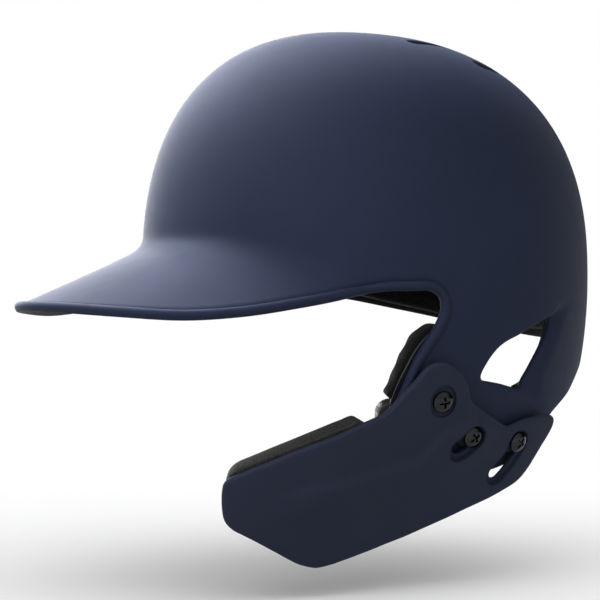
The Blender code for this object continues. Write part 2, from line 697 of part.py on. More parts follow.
# ================================ guard =========================================================
GUARD_PAD_GAP = 0.5
GUARD_PAD_WALL = 11.0
GUARD_RELIEF = 1.3
# the band between these two lines of the guard stands proud: a stepped ridge and a soft fold (y, z)
GUARD_RIDGE = [(-110, -101), (-85, -94.7), (-60, -89.5), (-32.7, -83.6), (-25.8, -74.3),
               (-19.7, -69.8), (-8, -66)]
GUARD_FOLD = [(13, -71.5), (9, -84.8), (-2.3, -94.9), (-25.1, -103.4), (-60, -113), (-110, -120)]


def guard_relief(sheet):
    """How far the guard's raised band stands out at each place."""
    side = guard_form(sheet)[:, 1:]
    ridge, fold = np.array(GUARD_RIDGE), np.array(GUARD_FOLD)
    within = inside(np.vstack([ridge, fold]), side)
    rise = smoothstep(0, 3, distance_to_line(side, ridge))
    fall = smoothstep(0, 13, distance_to_line(side, fold))
    ends = smoothstep(-108, -80, side[:, 0])
    return np.where(within, GUARD_RELIEF * rise * fall * ends, 0.0)


def guard_outside(distance, sheet):
    return GUARD_GAP + GUARD_WALL + guard_relief(sheet)


def add_guard():
    guard = curved_wall("face_guard", guard_form, smooth_curve(guard_outline(), 3), [],
                        guard_outside, GUARD_GAP, 11.0, 6.5, (0.0, 4.0))
    pivot, axis, _ = SCREWS["pivot"]
    floor = GUARD_GAP + GUARD_WALL - POCKET_DEPTH
    cut(guard, round_cutter("cut_counterbore", pivot, axis, COUNTERBORE_RADIUS, 14.0, floor))
    cut(guard, round_cutter("cut_pivot_hole", pivot, axis, PIVOT_HOLE_RADIUS, 12.0))
    for name in ("front_slot", "rear_slot"):
        cut(guard, slot_cutter(f"cut_{name}_pocket", name, POCKET_RADIUS, floor, 14.0))
        cut(guard, slot_cutter(f"cut_{name}", name, SLOT_RADIUS, -6.0, 12.0))
    return guard


def add_guard_pad():
    """Foam strip inside the guard's upper front edge; it stands a little above the edge."""
    outline = guard_places([(-120.5, -104), (-121.8, -96), (-121.3, -92.2), (-119, -89),
                            (-114, -86.2), (-107.7, -83.1), (-96.6, -78.2), (-84.6, -73.4),
                            (-71.6, -68.8), (-66.5, -67.1), (-63.6, -67.9), (-62, -71.5),
                            (-64, -81), (-72, -91), (-94, -102), (-113, -108)])
    return curved_wall("guard_pad", guard_form, smooth_curve(outline, 2), [],
                       GUARD_GAP - GUARD_PAD_GAP, GUARD_GAP - GUARD_PAD_GAP - GUARD_PAD_WALL,
                       14.0, 9.0)


# ================================ liner and pads ================================================
LINER_TOP = -SHELL_WALL - LINER_GAP
LINER_BASE = LINER_TOP - LINER_WALL
PATCH_TOP = LINER_BASE - PATCH_GAP
PAD_TOP = PATCH_TOP - PATCH_WALL - PATCH_GAP


def add_impact_liner():
    """Dome-shaped foam liner, open at the slots of the shell."""
    rim = around([(0, 5), (20, 5), (40, 3), (55, 0), (68, -1), (80, -2), (95, -3), (115, -4),
                  (135, -8), (150, -20), (165, -28), (180, -29), (195, -26.5), (207, -22),
                  (221, -15.5), (235, -9), (250, -4.5), (266, -2), (281, -1), (296, -1), (310, 1),
                  (325, 4), (342, 5)])
    holes = [vent_outline(vent, side) for vent in VENTS for side in (-1, 1)]
    return curved_wall("impact_liner", wall_form, smooth_curve(rim, 3), holes,
                       LINER_TOP, LINER_BASE, 17.0, 9.0)


def add_ear_flap_liner():
    """Firm foam inside the ear flap, with a well for the ear and room round the nuts."""
    outline = on_wall([(-17, -13), (-19, -21), (-22.5, -31), (-24, -41), (-19, -47.5), (-14.5, -53),
                       (-14, -61), (-18, -67), (-26, -68.5), (-34, -69), (-37, -75), (-35.5, -83),
                       (-29, -89), (-14, -92), (3, -90.5), (11, -88), (14, -81.5), (16, -74),
                       (22, -69), (29, -69.5), (34, -73), (42, -71), (54, -62), (70, -50),
                       (82, -39), (85, -31), (79, -22), (64, -13.5), (42, -10), (16, -9), (-8, -9)])
    well = on_wall([(-8, -34), (-7, -44), (0, -53), (14, -59.5), (32, -60), (46, -50), (56, -36),
                    (60, -24), (52, -16), (34, -15), (14, -16), (-3, -21)])
    nuts = [round_hole(wall_form, centre, NUT_FLANGE_RADIUS + 2.6, 12)
            for centre in on_wall([FRONT_SCREW])]
    return curved_wall("ear_flap_liner", wall_form, smooth_curve(outline, 2),
                       [smooth_curve(well, 2), *nuts], recessed(LINER_TOP),
                       recessed(LINER_TOP - FLAP_LINER_WALL), 12.0, 7.0)


def recessed(offset):
    """An offset that also follows the hollow round the ear hole."""
    return lambda distance, sheet: offset - 0.7 - 1.3 * recess(sheet)


def rounded_patch(azimuth, z, half_angle, half_height):
    """A rounded rectangle on the wall about one azimuth (degrees) and height."""
    turn = np.arange(24) * 2 * pi / 24
    swing = np.sign(np.cos(turn)) * np.abs(np.cos(turn)) ** 0.5
    climb = np.sign(np.sin(turn)) * np.abs(np.sin(turn)) ** 0.5
    return around(np.stack([azimuth + half_angle * swing, z + half_height * climb], 1))


def crown_patch(radius):
    turn = np.arange(24) * 2 * pi / 24
    return on_top(np.stack([radius * np.cos(turn), -4.0 + radius * np.sin(turn)], 1))


# name, azimuth, height, half angle and half height of the comfort pads on the wall
WALL_PADS = [("brow", 0.0, 24.0, 38.0, 15.0), ("left_temple", 70.0, 26.0, 19.0, 15.0),
             ("right_temple", -70.0, 26.0, 19.0, 15.0), ("nape", 180.0, -4.0, 26.0, 17.0)]


def add_comfort_pads():
    """Each pad is held to the liner by a hook-and-loop patch behind it."""
    pieces = []
    for name, azimuth, z, half_angle, half_height in WALL_PADS:
        pieces.append(curved_wall(f"{name}_pad", wall_form,
                                  rounded_patch(azimuth, z, half_angle, half_height), [],
                                  PAD_TOP, PAD_TOP - PAD_WALL, 14.0, 9.0))
        pieces.append(curved_wall(f"{name}_hook_patch", wall_form,
                                  rounded_patch(azimuth, z, half_angle * 0.6, half_height * 0.5), [],
                                  PATCH_TOP, PATCH_TOP - PATCH_WALL, 14.0, 9.0))
    pieces.append(curved_wall("crown_pad", wall_form, crown_patch(38.0), [],
                              PAD_TOP, PAD_TOP - PAD_WALL, 14.0, 10.0))
    pieces.append(curved_wall("crown_hook_patch", wall_form, crown_patch(18.0), [],
                              PATCH_TOP, PATCH_TOP - PATCH_WALL, 14.0, 9.0))
    return pieces


def add_ear_pads():
    """Cheek cushion at the flap's front edge, its plastic backing and the smooth pad below it."""
    backing = curved_wall("ear_pad_backing", wall_form, smooth_curve(on_wall(
        [(-23.5, -24), (-29, -25.5), (-34.5, -30.5), (-38.4, -36), (-42.4, -44.5), (-45.2, -52),
         (-47.2, -62), (-47.2, -73), (-41, -77), (-36.5, -70), (-36, -60), (-33.5, -50),
         (-30, -41), (-26, -33)]), 2),
        [], LINER_TOP + 0.4, LINER_TOP - 0.6, 12.0, 7.0)
    cushion = curved_wall("ear_front_pad", wall_form, smooth_curve(on_wall(
        [(-22.5, -24), (-28, -23.5), (-35.5, -28), (-40.5, -36.5), (-43.8, -44.6), (-46, -52),
         (-48, -57.8), (-44, -60.2), (-37, -59), (-34, -50), (-29, -40), (-24.5, -31)]), 2),
        [], LINER_TOP - 1.1, LINER_TOP - 14.0, 12.0, 7.0)
    lower = curved_wall("ear_lower_pad", wall_form, smooth_curve(on_wall(
        [(-48.5, -61.4), (-51.3, -66), (-50.5, -71.5), (-46.5, -77), (-40, -78.5), (-36.6, -73),
         (-36.6, -64.5), (-41, -61.6)]), 2),
        [], LINER_TOP - 1.1, LINER_TOP - 10.0, 12.0, 7.0)
    return [backing, cushion, lower]


# ================================ materials =====================================================
def principled(name, colour, roughness, metallic=0.0):
    material = bpy.data.materials.new(name)
    material.use_nodes = True
    shader = material.node_tree.nodes["Principled BSDF"]
    shader.inputs["Base Color"].default_value = (*colour, 1.0)
    shader.inputs["Roughness"].default_value = roughness
    shader.inputs["Metallic"].default_value = metallic
    return material


def finish_for(name, finishes):
    """The material of a piece, from the first word that its name contains."""
    for word, material in finishes:
        if word in name:
            return material
    raise ValueError(name)


def build():
    """Every piece, its material and the guard's pivot."""
    pieces = [add_shell(), add_impact_liner(), add_ear_flap_liner(), *add_ear_pads(),
              *add_comfort_pads()]
    guard = [add_guard(), add_guard_pad()]
    for name, (point, normal, flap_point) in SCREWS.items():
        pieces += [add_screw(name, point, normal), add_nut(name, flap_point, normal),
                   add_spacer(name, flap_point, normal)]
    pivot, axis, _ = SCREWS["pivot"]
    hinge = bpy.data.objects.new("guard_hinge", None)
    bpy.context.scene.collection.objects.link(hinge)
    hinge.matrix_world = axes_along(axis, pivot)
    for piece in guard:
        piece.parent = hinge
        piece.matrix_parent_inverse = hinge.matrix_world.inverted()
    finishes = [("shell", principled("navy_matte", (0.028, 0.034, 0.07), 0.55)),
                ("face_guard", principled("navy_guard", (0.028, 0.034, 0.07), 0.5)),
                ("flap_liner", principled("flap_foam", (0.02, 0.02, 0.022), 0.9)),
                ("liner", principled("liner_foam", (0.015, 0.015, 0.017), 0.85)),
                ("guard_pad", principled("guard_foam", (0.04, 0.04, 0.042), 0.95)),
                ("backing", principled("backing_plastic", (0.02, 0.02, 0.022), 0.25)),
                ("lower_pad", principled("grey_pad", (0.07, 0.07, 0.075), 0.5)),
                ("hook_patch", principled("hook_tape", (0.01, 0.01, 0.01), 0.95)),
                ("pad", principled("pad_cloth", (0.012, 0.012, 0.013), 0.9)),
                ("screw", principled("black_nickel", (0.06, 0.06, 0.065), 0.25, 1.0)),
                ("nut", principled("zinc", (0.5, 0.5, 0.5), 0.4, 1.0)),
                ("spacer", principled("rubber", (0.02, 0.02, 0.02), 0.8))]
    for piece in pieces + guard:
        piece.data.materials.append(finish_for(piece.name, finishes))


build()
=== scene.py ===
"""Batting helmet: the finished look of every piece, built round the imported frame.

Lengths are in millimetres until make_object() turns them into metres.  The thin pieces follow the
same form as the frame's solids, a function of two flat coordinates that unroll the shell from its
crown.  Each is meshed finely here, with rounded edges, beads, grooves, seams and stitches.
"""
from math import cos, pi, radians, sin

import bmesh
import bpy
import numpy as np
from mathutils import Matrix, Vector
from mathutils.geometry import delaunay_2d_cdt


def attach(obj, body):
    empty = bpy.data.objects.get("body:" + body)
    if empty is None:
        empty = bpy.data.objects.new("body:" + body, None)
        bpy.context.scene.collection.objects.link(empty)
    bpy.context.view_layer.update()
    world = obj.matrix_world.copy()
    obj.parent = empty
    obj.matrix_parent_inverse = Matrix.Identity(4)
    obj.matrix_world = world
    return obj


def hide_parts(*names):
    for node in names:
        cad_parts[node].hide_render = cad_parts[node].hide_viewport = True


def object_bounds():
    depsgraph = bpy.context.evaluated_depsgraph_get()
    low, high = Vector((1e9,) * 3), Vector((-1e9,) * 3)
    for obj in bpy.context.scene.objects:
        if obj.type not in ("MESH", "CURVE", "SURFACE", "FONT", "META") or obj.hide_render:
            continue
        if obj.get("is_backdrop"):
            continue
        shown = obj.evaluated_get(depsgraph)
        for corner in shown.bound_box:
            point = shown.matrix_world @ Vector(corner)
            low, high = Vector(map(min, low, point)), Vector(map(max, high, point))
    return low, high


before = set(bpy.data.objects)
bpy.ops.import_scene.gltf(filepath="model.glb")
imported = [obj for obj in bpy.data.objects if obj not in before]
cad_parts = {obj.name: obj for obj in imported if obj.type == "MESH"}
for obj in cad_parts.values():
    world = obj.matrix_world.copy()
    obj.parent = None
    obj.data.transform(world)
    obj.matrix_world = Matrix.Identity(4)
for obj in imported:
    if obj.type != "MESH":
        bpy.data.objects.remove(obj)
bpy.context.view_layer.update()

MM = 0.001

# ---- driving dimensions of the form ----
HALF_WIDTH = 102.0
HALF_LENGTH = 120.0
CROWN_HEIGHT = 126.5
CROWN_Y = -16.5             # the crown lies in front of the middle, so the dome tips back
PLAN_POWER = 2.13           # 2 is an ellipse seen from above, more is squarer
DOME_POWER = 2.44           # the same for the dome seen from the side
TUCK_RADIUS = 250.0         # how the wall curves inward below the widest plane
FARTHEST = 400.0            # beyond any part of the shell

BRIM_HALF_WIDTH = 90.0
BRIM_HALF_LENGTH = 119.5
BRIM_CENTRE_Y = -75.0
BRIM_ROOT_FRONT = 22.0      # height where the dome turns into the brim, at the front
BRIM_ROOT_SIDE = 8.0        # and beside the temples
BRIM_FILLET_RISE = 6.0      # height of the rounded corner at the brim's root, at the front
BRIM_FILLET_MORE = 4.0      # and how much more beside the temples
BRIM_FILLET_RUN = 9.0
BRIM_SOFTNESS = 9.0         # mm2, rounds the edge where it meets the wall seen from above
BRIM_FADE = (radians(56), radians(72))      # where the brim has melted into the wall
# height of the brim's edge along its length (y, z)
BRIM_EDGE = [
    (-196, -13.0), (-176, -15.4), (-152, -17.4), (-128, -16.2), (-98, -12.2), (-62, -7.2),
    (-38, -5.0), (-20, -4.4)]

# ---- walls ----
SHELL_WALL = 3.0
BEAD_FADE = (radians(92), radians(118))     # where the bead round the edge runs out
LINER_GAP = 0.8
LINER_WALL = 12.0
PATCH_GAP = 1.0
PATCH_WALL = 1.2
PAD_WALL = 7.0
FLAP_LINER_WALL = 9.0
GUARD_GAP = 2.4
GUARD_WALL = 3.6
GUARD_FLARE = 0.85          # mm that the guard leaves the form for each degree ahead of the flap
GUARD_FLARE_FROM = 70.0     # azimuth in degrees where it starts to
GUARD_FLARE_SOFTNESS = 8.0  # degrees over which the flare sets in

# ---- screws and slots ----
PIVOT = (-25.0, -58.0)      # (y, z) of each screw on the flap
FRONT_SCREW = (-5.0, -75.5)
REAR_SCREW = (24.5, -79.5)
GUARD_TRAVEL = radians(20)
SHANK_RADIUS = 2.3
SHANK_BEYOND = 7.0          # how far the screw runs on inside the flap
HEAD_RADIUS = 5.3
HEAD_HEIGHT = 2.8
COUNTERBORE_RADIUS = 7.2
POCKET_RADIUS = 6.0
POCKET_DEPTH = 1.5
SLOT_RADIUS = 3.2           # half the width of each arc slot
PIVOT_HOLE_RADIUS = 2.8
NUT_FLANGE_RADIUS = 6.5
SHELL_HOLE_RADIUS = 4.3


# ---- the form ----
def smoothstep(low, high, value):
    """0 below low, 1 above high, smooth between."""
    t = np.clip((value - low) / (high - low), 0.0, 1.0)
    return t * t * (3.0 - 2.0 * t)


def hermite(t, first, last, leave, arrive):
    """A smooth step from first to last that leaves and arrives with the given slopes."""
    return (first + leave * t + (3 * (last - first) - 2 * leave - arrive) * t ** 2
            + (2 * (first - last) + leave + arrive) * t ** 3)


def smooth_curve(points, per_span):
    """A closed smooth curve through the points, with per_span steps for each of them."""
    points = np.asarray(points, float)
    after = np.roll(points, -1, 0)
    span = np.linalg.norm(after - points, axis=1, keepdims=True)
    slope = (after - np.roll(points, 1, 0)) / (span + np.roll(span, 1, 0))
    leave, arrive = slope * span, np.roll(slope, -1, 0) * span
    steps = [hermite(k / per_span, points, after, leave, arrive) for k in range(per_span)]
    return np.stack(steps, 1).reshape(-1, points.shape[1])


def smooth_table(x, xs, ys):
    """A smooth curve through a short table of points."""
    slopes = np.gradient(ys, xs)
    k = np.clip(np.searchsorted(xs, x) - 1, 0, len(xs) - 2)
    width = xs[k + 1] - xs[k]
    t = np.clip((x - xs[k]) / width, 0.0, 1.0)
    return hermite(t, ys[k], ys[k + 1], width * slopes[k], width * slopes[k + 1])


def turns(count, shift=0.0):
    """Angles spread evenly round a circle."""
    return (np.arange(count) + shift) * 2 * pi / count


def plan_radius(azimuth, half_width, half_length, centre_y, power):
    """Distance from the crown's axis to a superellipse, along each azimuth (0 is forward)."""
    along_x, along_y = np.sin(azimuth), -np.cos(azimuth)
    low, high = np.zeros_like(azimuth), np.full_like(azimuth, FARTHEST)
    for _ in range(36):
        middle = (low + high) / 2
        within = (np.abs(middle * along_x / half_width) ** power
                  + np.abs((CROWN_Y + middle * along_y - centre_y) / half_length) ** power) < 1
        low, high = np.where(within, middle, low), np.where(within, high, middle)
    return (low + high) / 2


def shell_radius(azimuth):
    return plan_radius(azimuth, HALF_WIDTH, HALF_LENGTH, 0.0, PLAN_POWER)


def angle_of_height(z):
    """The angle from the crown at which the wall has height z; below z = 0 it counts depth."""
    up = np.clip(z / CROWN_HEIGHT, 0.0, 1.0)
    out = (1.0 - up ** DOME_POWER) ** (1.0 / DOME_POWER)
    return np.where(z > 0, np.arctan2(out, up), pi / 2 - z / CROWN_HEIGHT)


def wall_profile(azimuth, angle):
    """Radius and height of the dome, and of the tucked wall under it."""
    over = np.minimum(angle, pi / 2)
    depth = np.maximum(angle - pi / 2, 0.0) * CROWN_HEIGHT
    sine, cosine = np.sin(over), np.clip(np.cos(over), 0.0, 1.0)
    unit = (sine ** DOME_POWER + cosine ** DOME_POWER) ** (-1.0 / DOME_POWER)
    radius = shell_radius(azimuth) * sine * unit - depth ** 2 / (2 * TUCK_RADIUS)
    return radius, CROWN_HEIGHT * cosine * unit - depth


def brim_lines(azimuth):
    """Root, corner and edge of the brim's profile along each azimuth, and the angle at each end."""
    side = np.abs(azimuth)
    root_z = BRIM_ROOT_FRONT + (BRIM_ROOT_SIDE - BRIM_ROOT_FRONT) * smoothstep(0.25, 1.25, side)
    start = angle_of_height(root_z)
    root_r, _ = wall_profile(azimuth, start)
    edge_r = plan_radius(azimuth, BRIM_HALF_WIDTH, BRIM_HALF_LENGTH, BRIM_CENTRE_Y, 2.0)
    flat = shell_radius(azimuth)
    edge_r = 0.5 * (edge_r + flat + np.sqrt((edge_r - flat) ** 2 + BRIM_SOFTNESS))
    edge_y = CROWN_Y - edge_r * np.cos(azimuth)
    heights = np.array(BRIM_EDGE)
    edge_z = smooth_table(edge_y, heights[:, 0], heights[:, 1])
    corner_r = root_r + 0.4
    corner_z = root_z - BRIM_FILLET_RISE - BRIM_FILLET_MORE * smoothstep(0.4, 1.2, side)
    length = np.hypot(edge_r - corner_r, edge_z - corner_z) + root_z - corner_z
    return root_r, root_z, corner_r, corner_z, edge_r, edge_z, start, start + length / CROWN_HEIGHT


def brim_profile(azimuth, angle):
    """Radius and height past the brim's root: a rounded corner, then a straight slope."""
    root_r, root_z, corner_r, corner_z, edge_r, edge_z, start, end = brim_lines(azimuth)
    rise = root_z - corner_z
    slope = np.hypot(edge_r - corner_r, edge_z - corner_z)
    travelled = (angle - start) * CROWN_HEIGHT
    run = np.minimum(BRIM_FILLET_RUN, 0.6 * slope)
    t = np.clip(travelled / (rise + run), 0.0, 1.0)
    toward_r, toward_z = (edge_r - corner_r) / slope, (edge_z - corner_z) / slope
    past_r, past_z = corner_r + run * toward_r, corner_z + run * toward_z
    bend_r = (1 - t) ** 2 * root_r + 2 * t * (1 - t) * corner_r + t ** 2 * past_r
    bend_z = (1 - t) ** 2 * root_z + 2 * t * (1 - t) * corner_z + t ** 2 * past_z
    more = np.maximum(travelled - rise - run, 0.0)
    return bend_r + more * toward_r, bend_z + more * toward_z


def to_points(azimuth, radius, z):
    return np.stack([radius * np.sin(azimuth), CROWN_Y - radius * np.cos(azimuth), z], -1)


def sheet_coordinates(azimuth, angle):
    """Flat coordinates of the unrolled shell, in which angles between lines are kept."""
    spread = np.where(angle < pi / 2, np.tan(np.minimum(angle, pi / 2) / 2), np.exp(angle - pi / 2))
    return np.stack([spread * np.sin(azimuth), -spread * np.cos(azimuth)], -1)


def polar(sheet):
    spread = np.maximum(np.hypot(sheet[..., 0], sheet[..., 1]), 1e-9)
    angle = np.where(spread < 1, 2 * np.arctan(np.minimum(spread, 1.0)), pi / 2 + np.log(spread))
    return np.arctan2(sheet[..., 0], -sheet[..., 1]), angle


def wall_form(sheet):
    """The shell's outside without its brim."""
    azimuth, angle = polar(sheet)
    return to_points(azimuth, *wall_profile(azimuth, angle))


def shell_form(sheet):
    """The shell's outside: dome, walls and brim."""
    azimuth, angle = polar(sheet)
    wall_r, wall_z = wall_profile(azimuth, angle)
    brim_r, brim_z = brim_profile(azimuth, angle)
    start = brim_lines(azimuth)[6]
    share = np.where(angle > start, 1.0 - smoothstep(*BRIM_FADE, np.abs(azimuth)), 0.0)
    radius, z = wall_r + share * (brim_r - wall_r), wall_z + share * (brim_z - wall_z)
    return to_points(azimuth, radius, z)


def guard_form(sheet):
    """The flap's wall carried on forward round the jaw, leaving the form ahead of the flap."""
    azimuth, angle = polar(sheet)
    radius, z = wall_profile(azimuth, angle)
    ahead = GUARD_FLARE_FROM - np.degrees(azimuth)
    lead = 0.5 * (ahead + np.sqrt(ahead ** 2 + GUARD_FLARE_SOFTNESS ** 2))
    return to_points(azimuth, radius + GUARD_FLARE * lead, z)


def frame_at(form, sheet):
    """Point, outward normal and the two tangents of a form at each place in the sheet."""
    step = 1e-4 * np.maximum(np.hypot(sheet[..., 0], sheet[..., 1]), 0.05)[..., None]
    across, along = np.array([1.0, 0.0]), np.array([0.0, 1.0])
    d_u = (form(sheet + step * across) - form(sheet - step * across)) / (2 * step)
    d_v = (form(sheet + step * along) - form(sheet - step * along)) / (2 * step)
    normal = np.cross(d_u, d_v)
    return form(sheet), normal / np.linalg.norm(normal, axis=-1, keepdims=True), d_u, d_v


def places_on(form, y_z):
    """Sheet coordinates of points on a form's left side, given by their y and z."""
    y, z = np.asarray(y_z, float).T
    angle = angle_of_height(z)
    low, high = np.full(len(y), 0.05), np.full(len(y), pi - 0.02)
    for _ in range(40):
        middle = (low + high) / 2
        ahead = form(sheet_coordinates(middle, angle))[:, 1] < y
        low, high = np.where(ahead, middle, low), np.where(ahead, high, middle)
    return sheet_coordinates((low + high) / 2, angle)


def on_wall(y_z):
    return places_on(wall_form, y_z)


def on_guard(y_z):
    return places_on(guard_form, y_z)


def on_top(x_y):
    """Sheet coordinates of points on the dome seen from above."""
    x, y = np.asarray(x_y, float).T
    azimuth = np.arctan2(x, -(y - CROWN_Y))
    out = np.clip(np.hypot(x, y - CROWN_Y) / shell_radius(azimuth), 0.0, 0.999)
    up = (1 - out ** DOME_POWER) ** (1 / DOME_POWER)
    return sheet_coordinates(azimuth, np.arctan2(out, up))


# ---- outlines ----
def resample(form, loop, spacing):
    """The same closed loop with even steps of about `spacing` millimetres on the form."""
    points = form(loop)
    lengths = np.linalg.norm(np.roll(points, -1, 0) - points, axis=1)
    total = np.concatenate([[0.0], np.cumsum(lengths)])
    count = max(8, int(round(total[-1] / spacing)))
    wanted = np.arange(count) * total[-1] / count
    closed = np.vstack([loop, loop[:1]])
    return np.stack([np.interp(wanted, total, closed[:, k]) for k in range(2)], 1)


def signed_area(loop):
    following = np.roll(loop, -1, 0)
    return 0.5 * np.sum(loop[:, 0] * following[:, 1] - following[:, 0] * loop[:, 1])


def inside(loop, points):
    """Which points lie inside a closed loop."""
    result = np.zeros(len(points), bool)
    for (x0, y0), (x1, y1) in zip(loop, np.roll(loop, -1, 0)):
        if y0 == y1:
            continue
        crosses = (y0 > points[:, 1]) != (y1 > points[:, 1])
        result ^= crosses & (points[:, 0] < (x1 - x0) * (points[:, 1] - y0) / (y1 - y0) + x0)
    return result


def in_material(loops, points):
    """Which points lie inside the first loop and outside every other."""
    keep = inside(loops[0], points)
    for hole in loops[1:]:
        keep &= ~inside(hole, points)
    return keep


def metric(d_u, d_v):
    """Lengths and angle of the two tangents, as the surface's first form."""
    return (d_u * d_u).sum(-1), (d_u * d_v).sum(-1), (d_v * d_v).sum(-1)


def inset(form, loop, distance):
    """A loop moved into the material (to the left of its direction) by a distance on the form."""
    tangent = np.roll(loop, -1, 0) - np.roll(loop, 1, 0)
    _, _, d_u, d_v = frame_at(form, loop)
    e, f, g = metric(d_u, d_v)
    left, ahead = -tangent[:, 1], tangent[:, 0]
    u, v = g * left - f * ahead, e * ahead - f * left
    size = np.sqrt(e * u ** 2 + 2 * f * u * v + g * v ** 2)
    return loop + distance * np.stack([u, v], 1) / size[:, None]


def round_hole(form, centre, radius, count):
    """A circle of a real radius about one place in the sheet."""
    _, _, d_u, d_v = frame_at(form, centre[None])
    scale = np.sqrt(np.linalg.norm(np.cross(d_u[0], d_v[0])))
    turn = turns(count)
    return centre + radius / scale * np.stack([np.cos(turn), np.sin(turn)], 1)


def around(azimuth_z):
    """Sheet coordinates of points on the wall given by azimuth in degrees and z."""
    azimuth, z = np.asarray(azimuth_z, float).T
    return sheet_coordinates(np.radians(azimuth), angle_of_height(z))


def rim_outline():
    """The shell's whole edge: brim, face opening, ear flap, nape and the bare right side."""
    azimuth = np.radians(np.arange(-66, 67, 3.0))
    brim = sheet_coordinates(azimuth, brim_lines(azimuth)[7])
    flap = on_wall([
        (-42, -6.2), (-32, -6.3), (-27.2, -9.5), (-26.2, -15), (-28.3, -21), (-33, -29),
        (-38, -38), (-42, -49), (-45.5, -62), (-46.5, -76), (-42, -88), (-32, -95), (-15, -98),
        (4, -97), (18, -95), (30, -91.5), (40, -85.5), (48, -78), (56, -69.5)])
    nape = around([
        (139.5, -60), (145, -51), (152, -44), (161, -38), (172, -34.5), (183, -32.5), (194, -29.5),
        (206, -25), (220, -18.5), (234, -12.5), (248, -8.5), (264, -6.5), (279, -5.6)])
    return np.vstack([brim, flap, nape])


def ear_hole_outline():
    """Rounded four-sided ear opening with a curved upper edge."""
    return on_wall([
        (1.4, -50.2), (-0.8, -47.8), (2.7, -40.8), (7.7, -35), (12.6, -31.7), (22, -28),
        (34, -23.3), (45.5, -19.2), (48.6, -20.4), (48.2, -24.6), (45.5, -30.2), (39, -40.3),
        (32.8, -50), (30, -54), (26, -55), (15.5, -52.8)])


# x, y, half length and half width of a slot on the dome, and how far it turns inward to the rear
VENTS = [(40.5, 10.0, 15.5, 2.8, radians(14)), (52.0, 38.5, 10.5, 2.8, radians(18))]
VENT_POINTS = 40


def vent_outline(x, y, half_length, half_width, turn_in, side):
    """A slot that runs front to back on the dome, with round ends."""
    turn = turns(VENT_POINTS, 0.5)
    across = half_width * np.cos(turn)
    along = np.where(np.sin(turn) > 0, 1.0, -1.0) * (half_length - half_width)
    along = along + half_width * np.sin(turn)
    right = x + across * cos(turn_in) - along * sin(turn_in)
    back = y + across * sin(turn_in) + along * cos(turn_in)
    return on_top(np.stack([side * right, back], 1))


def vent_outlines():
    return [vent_outline(*vent, side) for vent in VENTS for side in (-1, 1)]


def guard_outline():
    """The jaw guard: a hump over the pivot screw, a notch, a short rear tip and a long blade."""
    return on_guard([
        (-49, -56.6), (-41.6, -48.9), (-34.7, -41.4), (-28.6, -39.4), (-22.4, -40.9),
        (-14.8, -46.7), (-11.5, -52.3), (-9, -58), (-1.7, -62.8), (7.2, -67.5), (15.5, -71.5),
        (20, -70.8), (27, -68.9), (42, -67.4), (48, -67.8), (50.2, -70.4), (49, -74.8),
        (43.1, -83), (35.8, -94), (30.4, -99.4), (23, -103.1), (12.6, -107.3), (0, -111.8),
        (-10.5, -115.9), (-21.5, -120.2), (-31.8, -124.3), (-44.1, -128.1), (-55.8, -131.3),
        (-66, -134.2), (-72, -135.6), (-77, -135.9), (-87, -132.4), (-113, -117.2),
        (-117.8, -112.8), (-120.3, -107), (-122.4, -95), (-121, -91.8), (-115, -88.2),
        (-103.7, -82.4), (-81.3, -73.3), (-65, -66.6), (-55.5, -62.6)])


# ---- curved walls ----
AWAY_FROM_EDGE = 1000.0     # the distance given to points that no edge feature should reach
EDGE_CLEARANCE = 0.62       # how far inner points keep from an edge, as a share of their spacing


def distance_to_points(places, points):
    """Distance from each place to the nearest of some points in space."""
    nearest = np.full(len(places), np.inf)
    for point in points:
        nearest = np.minimum(nearest, np.linalg.norm(places - point, axis=1))
    return nearest


def fill_points(form, loops, spacing):
    """Places for inner mesh points: rings round the crown, kept a little clear of every edge."""
    farthest = np.hypot(*loops[0].T).max()
    points, angle, row = [np.zeros((1, 2))], spacing / CROWN_HEIGHT, 0
    while np.hypot(*sheet_coordinates(0.0, np.array(angle))) < farthest:
        count = max(6, int(round(2 * pi * HALF_WIDTH * sin(min(angle, pi / 2)) / spacing)))
        points.append(sheet_coordinates(turns(count, 0.5 * (row % 2)), np.full(count, angle)))
        angle += 0.9 * spacing / CROWN_HEIGHT
        row += 1
    points = np.vstack(points)
    points = points[in_material(loops, points)]
    for loop in loops:
        clear = distance_to_points(form(points), form(loop)) > EDGE_CLEARANCE * spacing
        points = points[clear]
    return points


def rounded_rows(radius, steps=4):
    """Distances from an edge at which its rounding has rows of points."""
    return [radius * (1 - cos(pi / 2 * k / steps)) for k in range(steps + 1)]


def rounded(distance, radius):
    """How far a face drops near a rounded edge."""
    t = np.clip(distance / radius, 0.0, 1.0)
    return radius * (1.0 - np.sqrt(1.0 - (1.0 - t) ** 2))


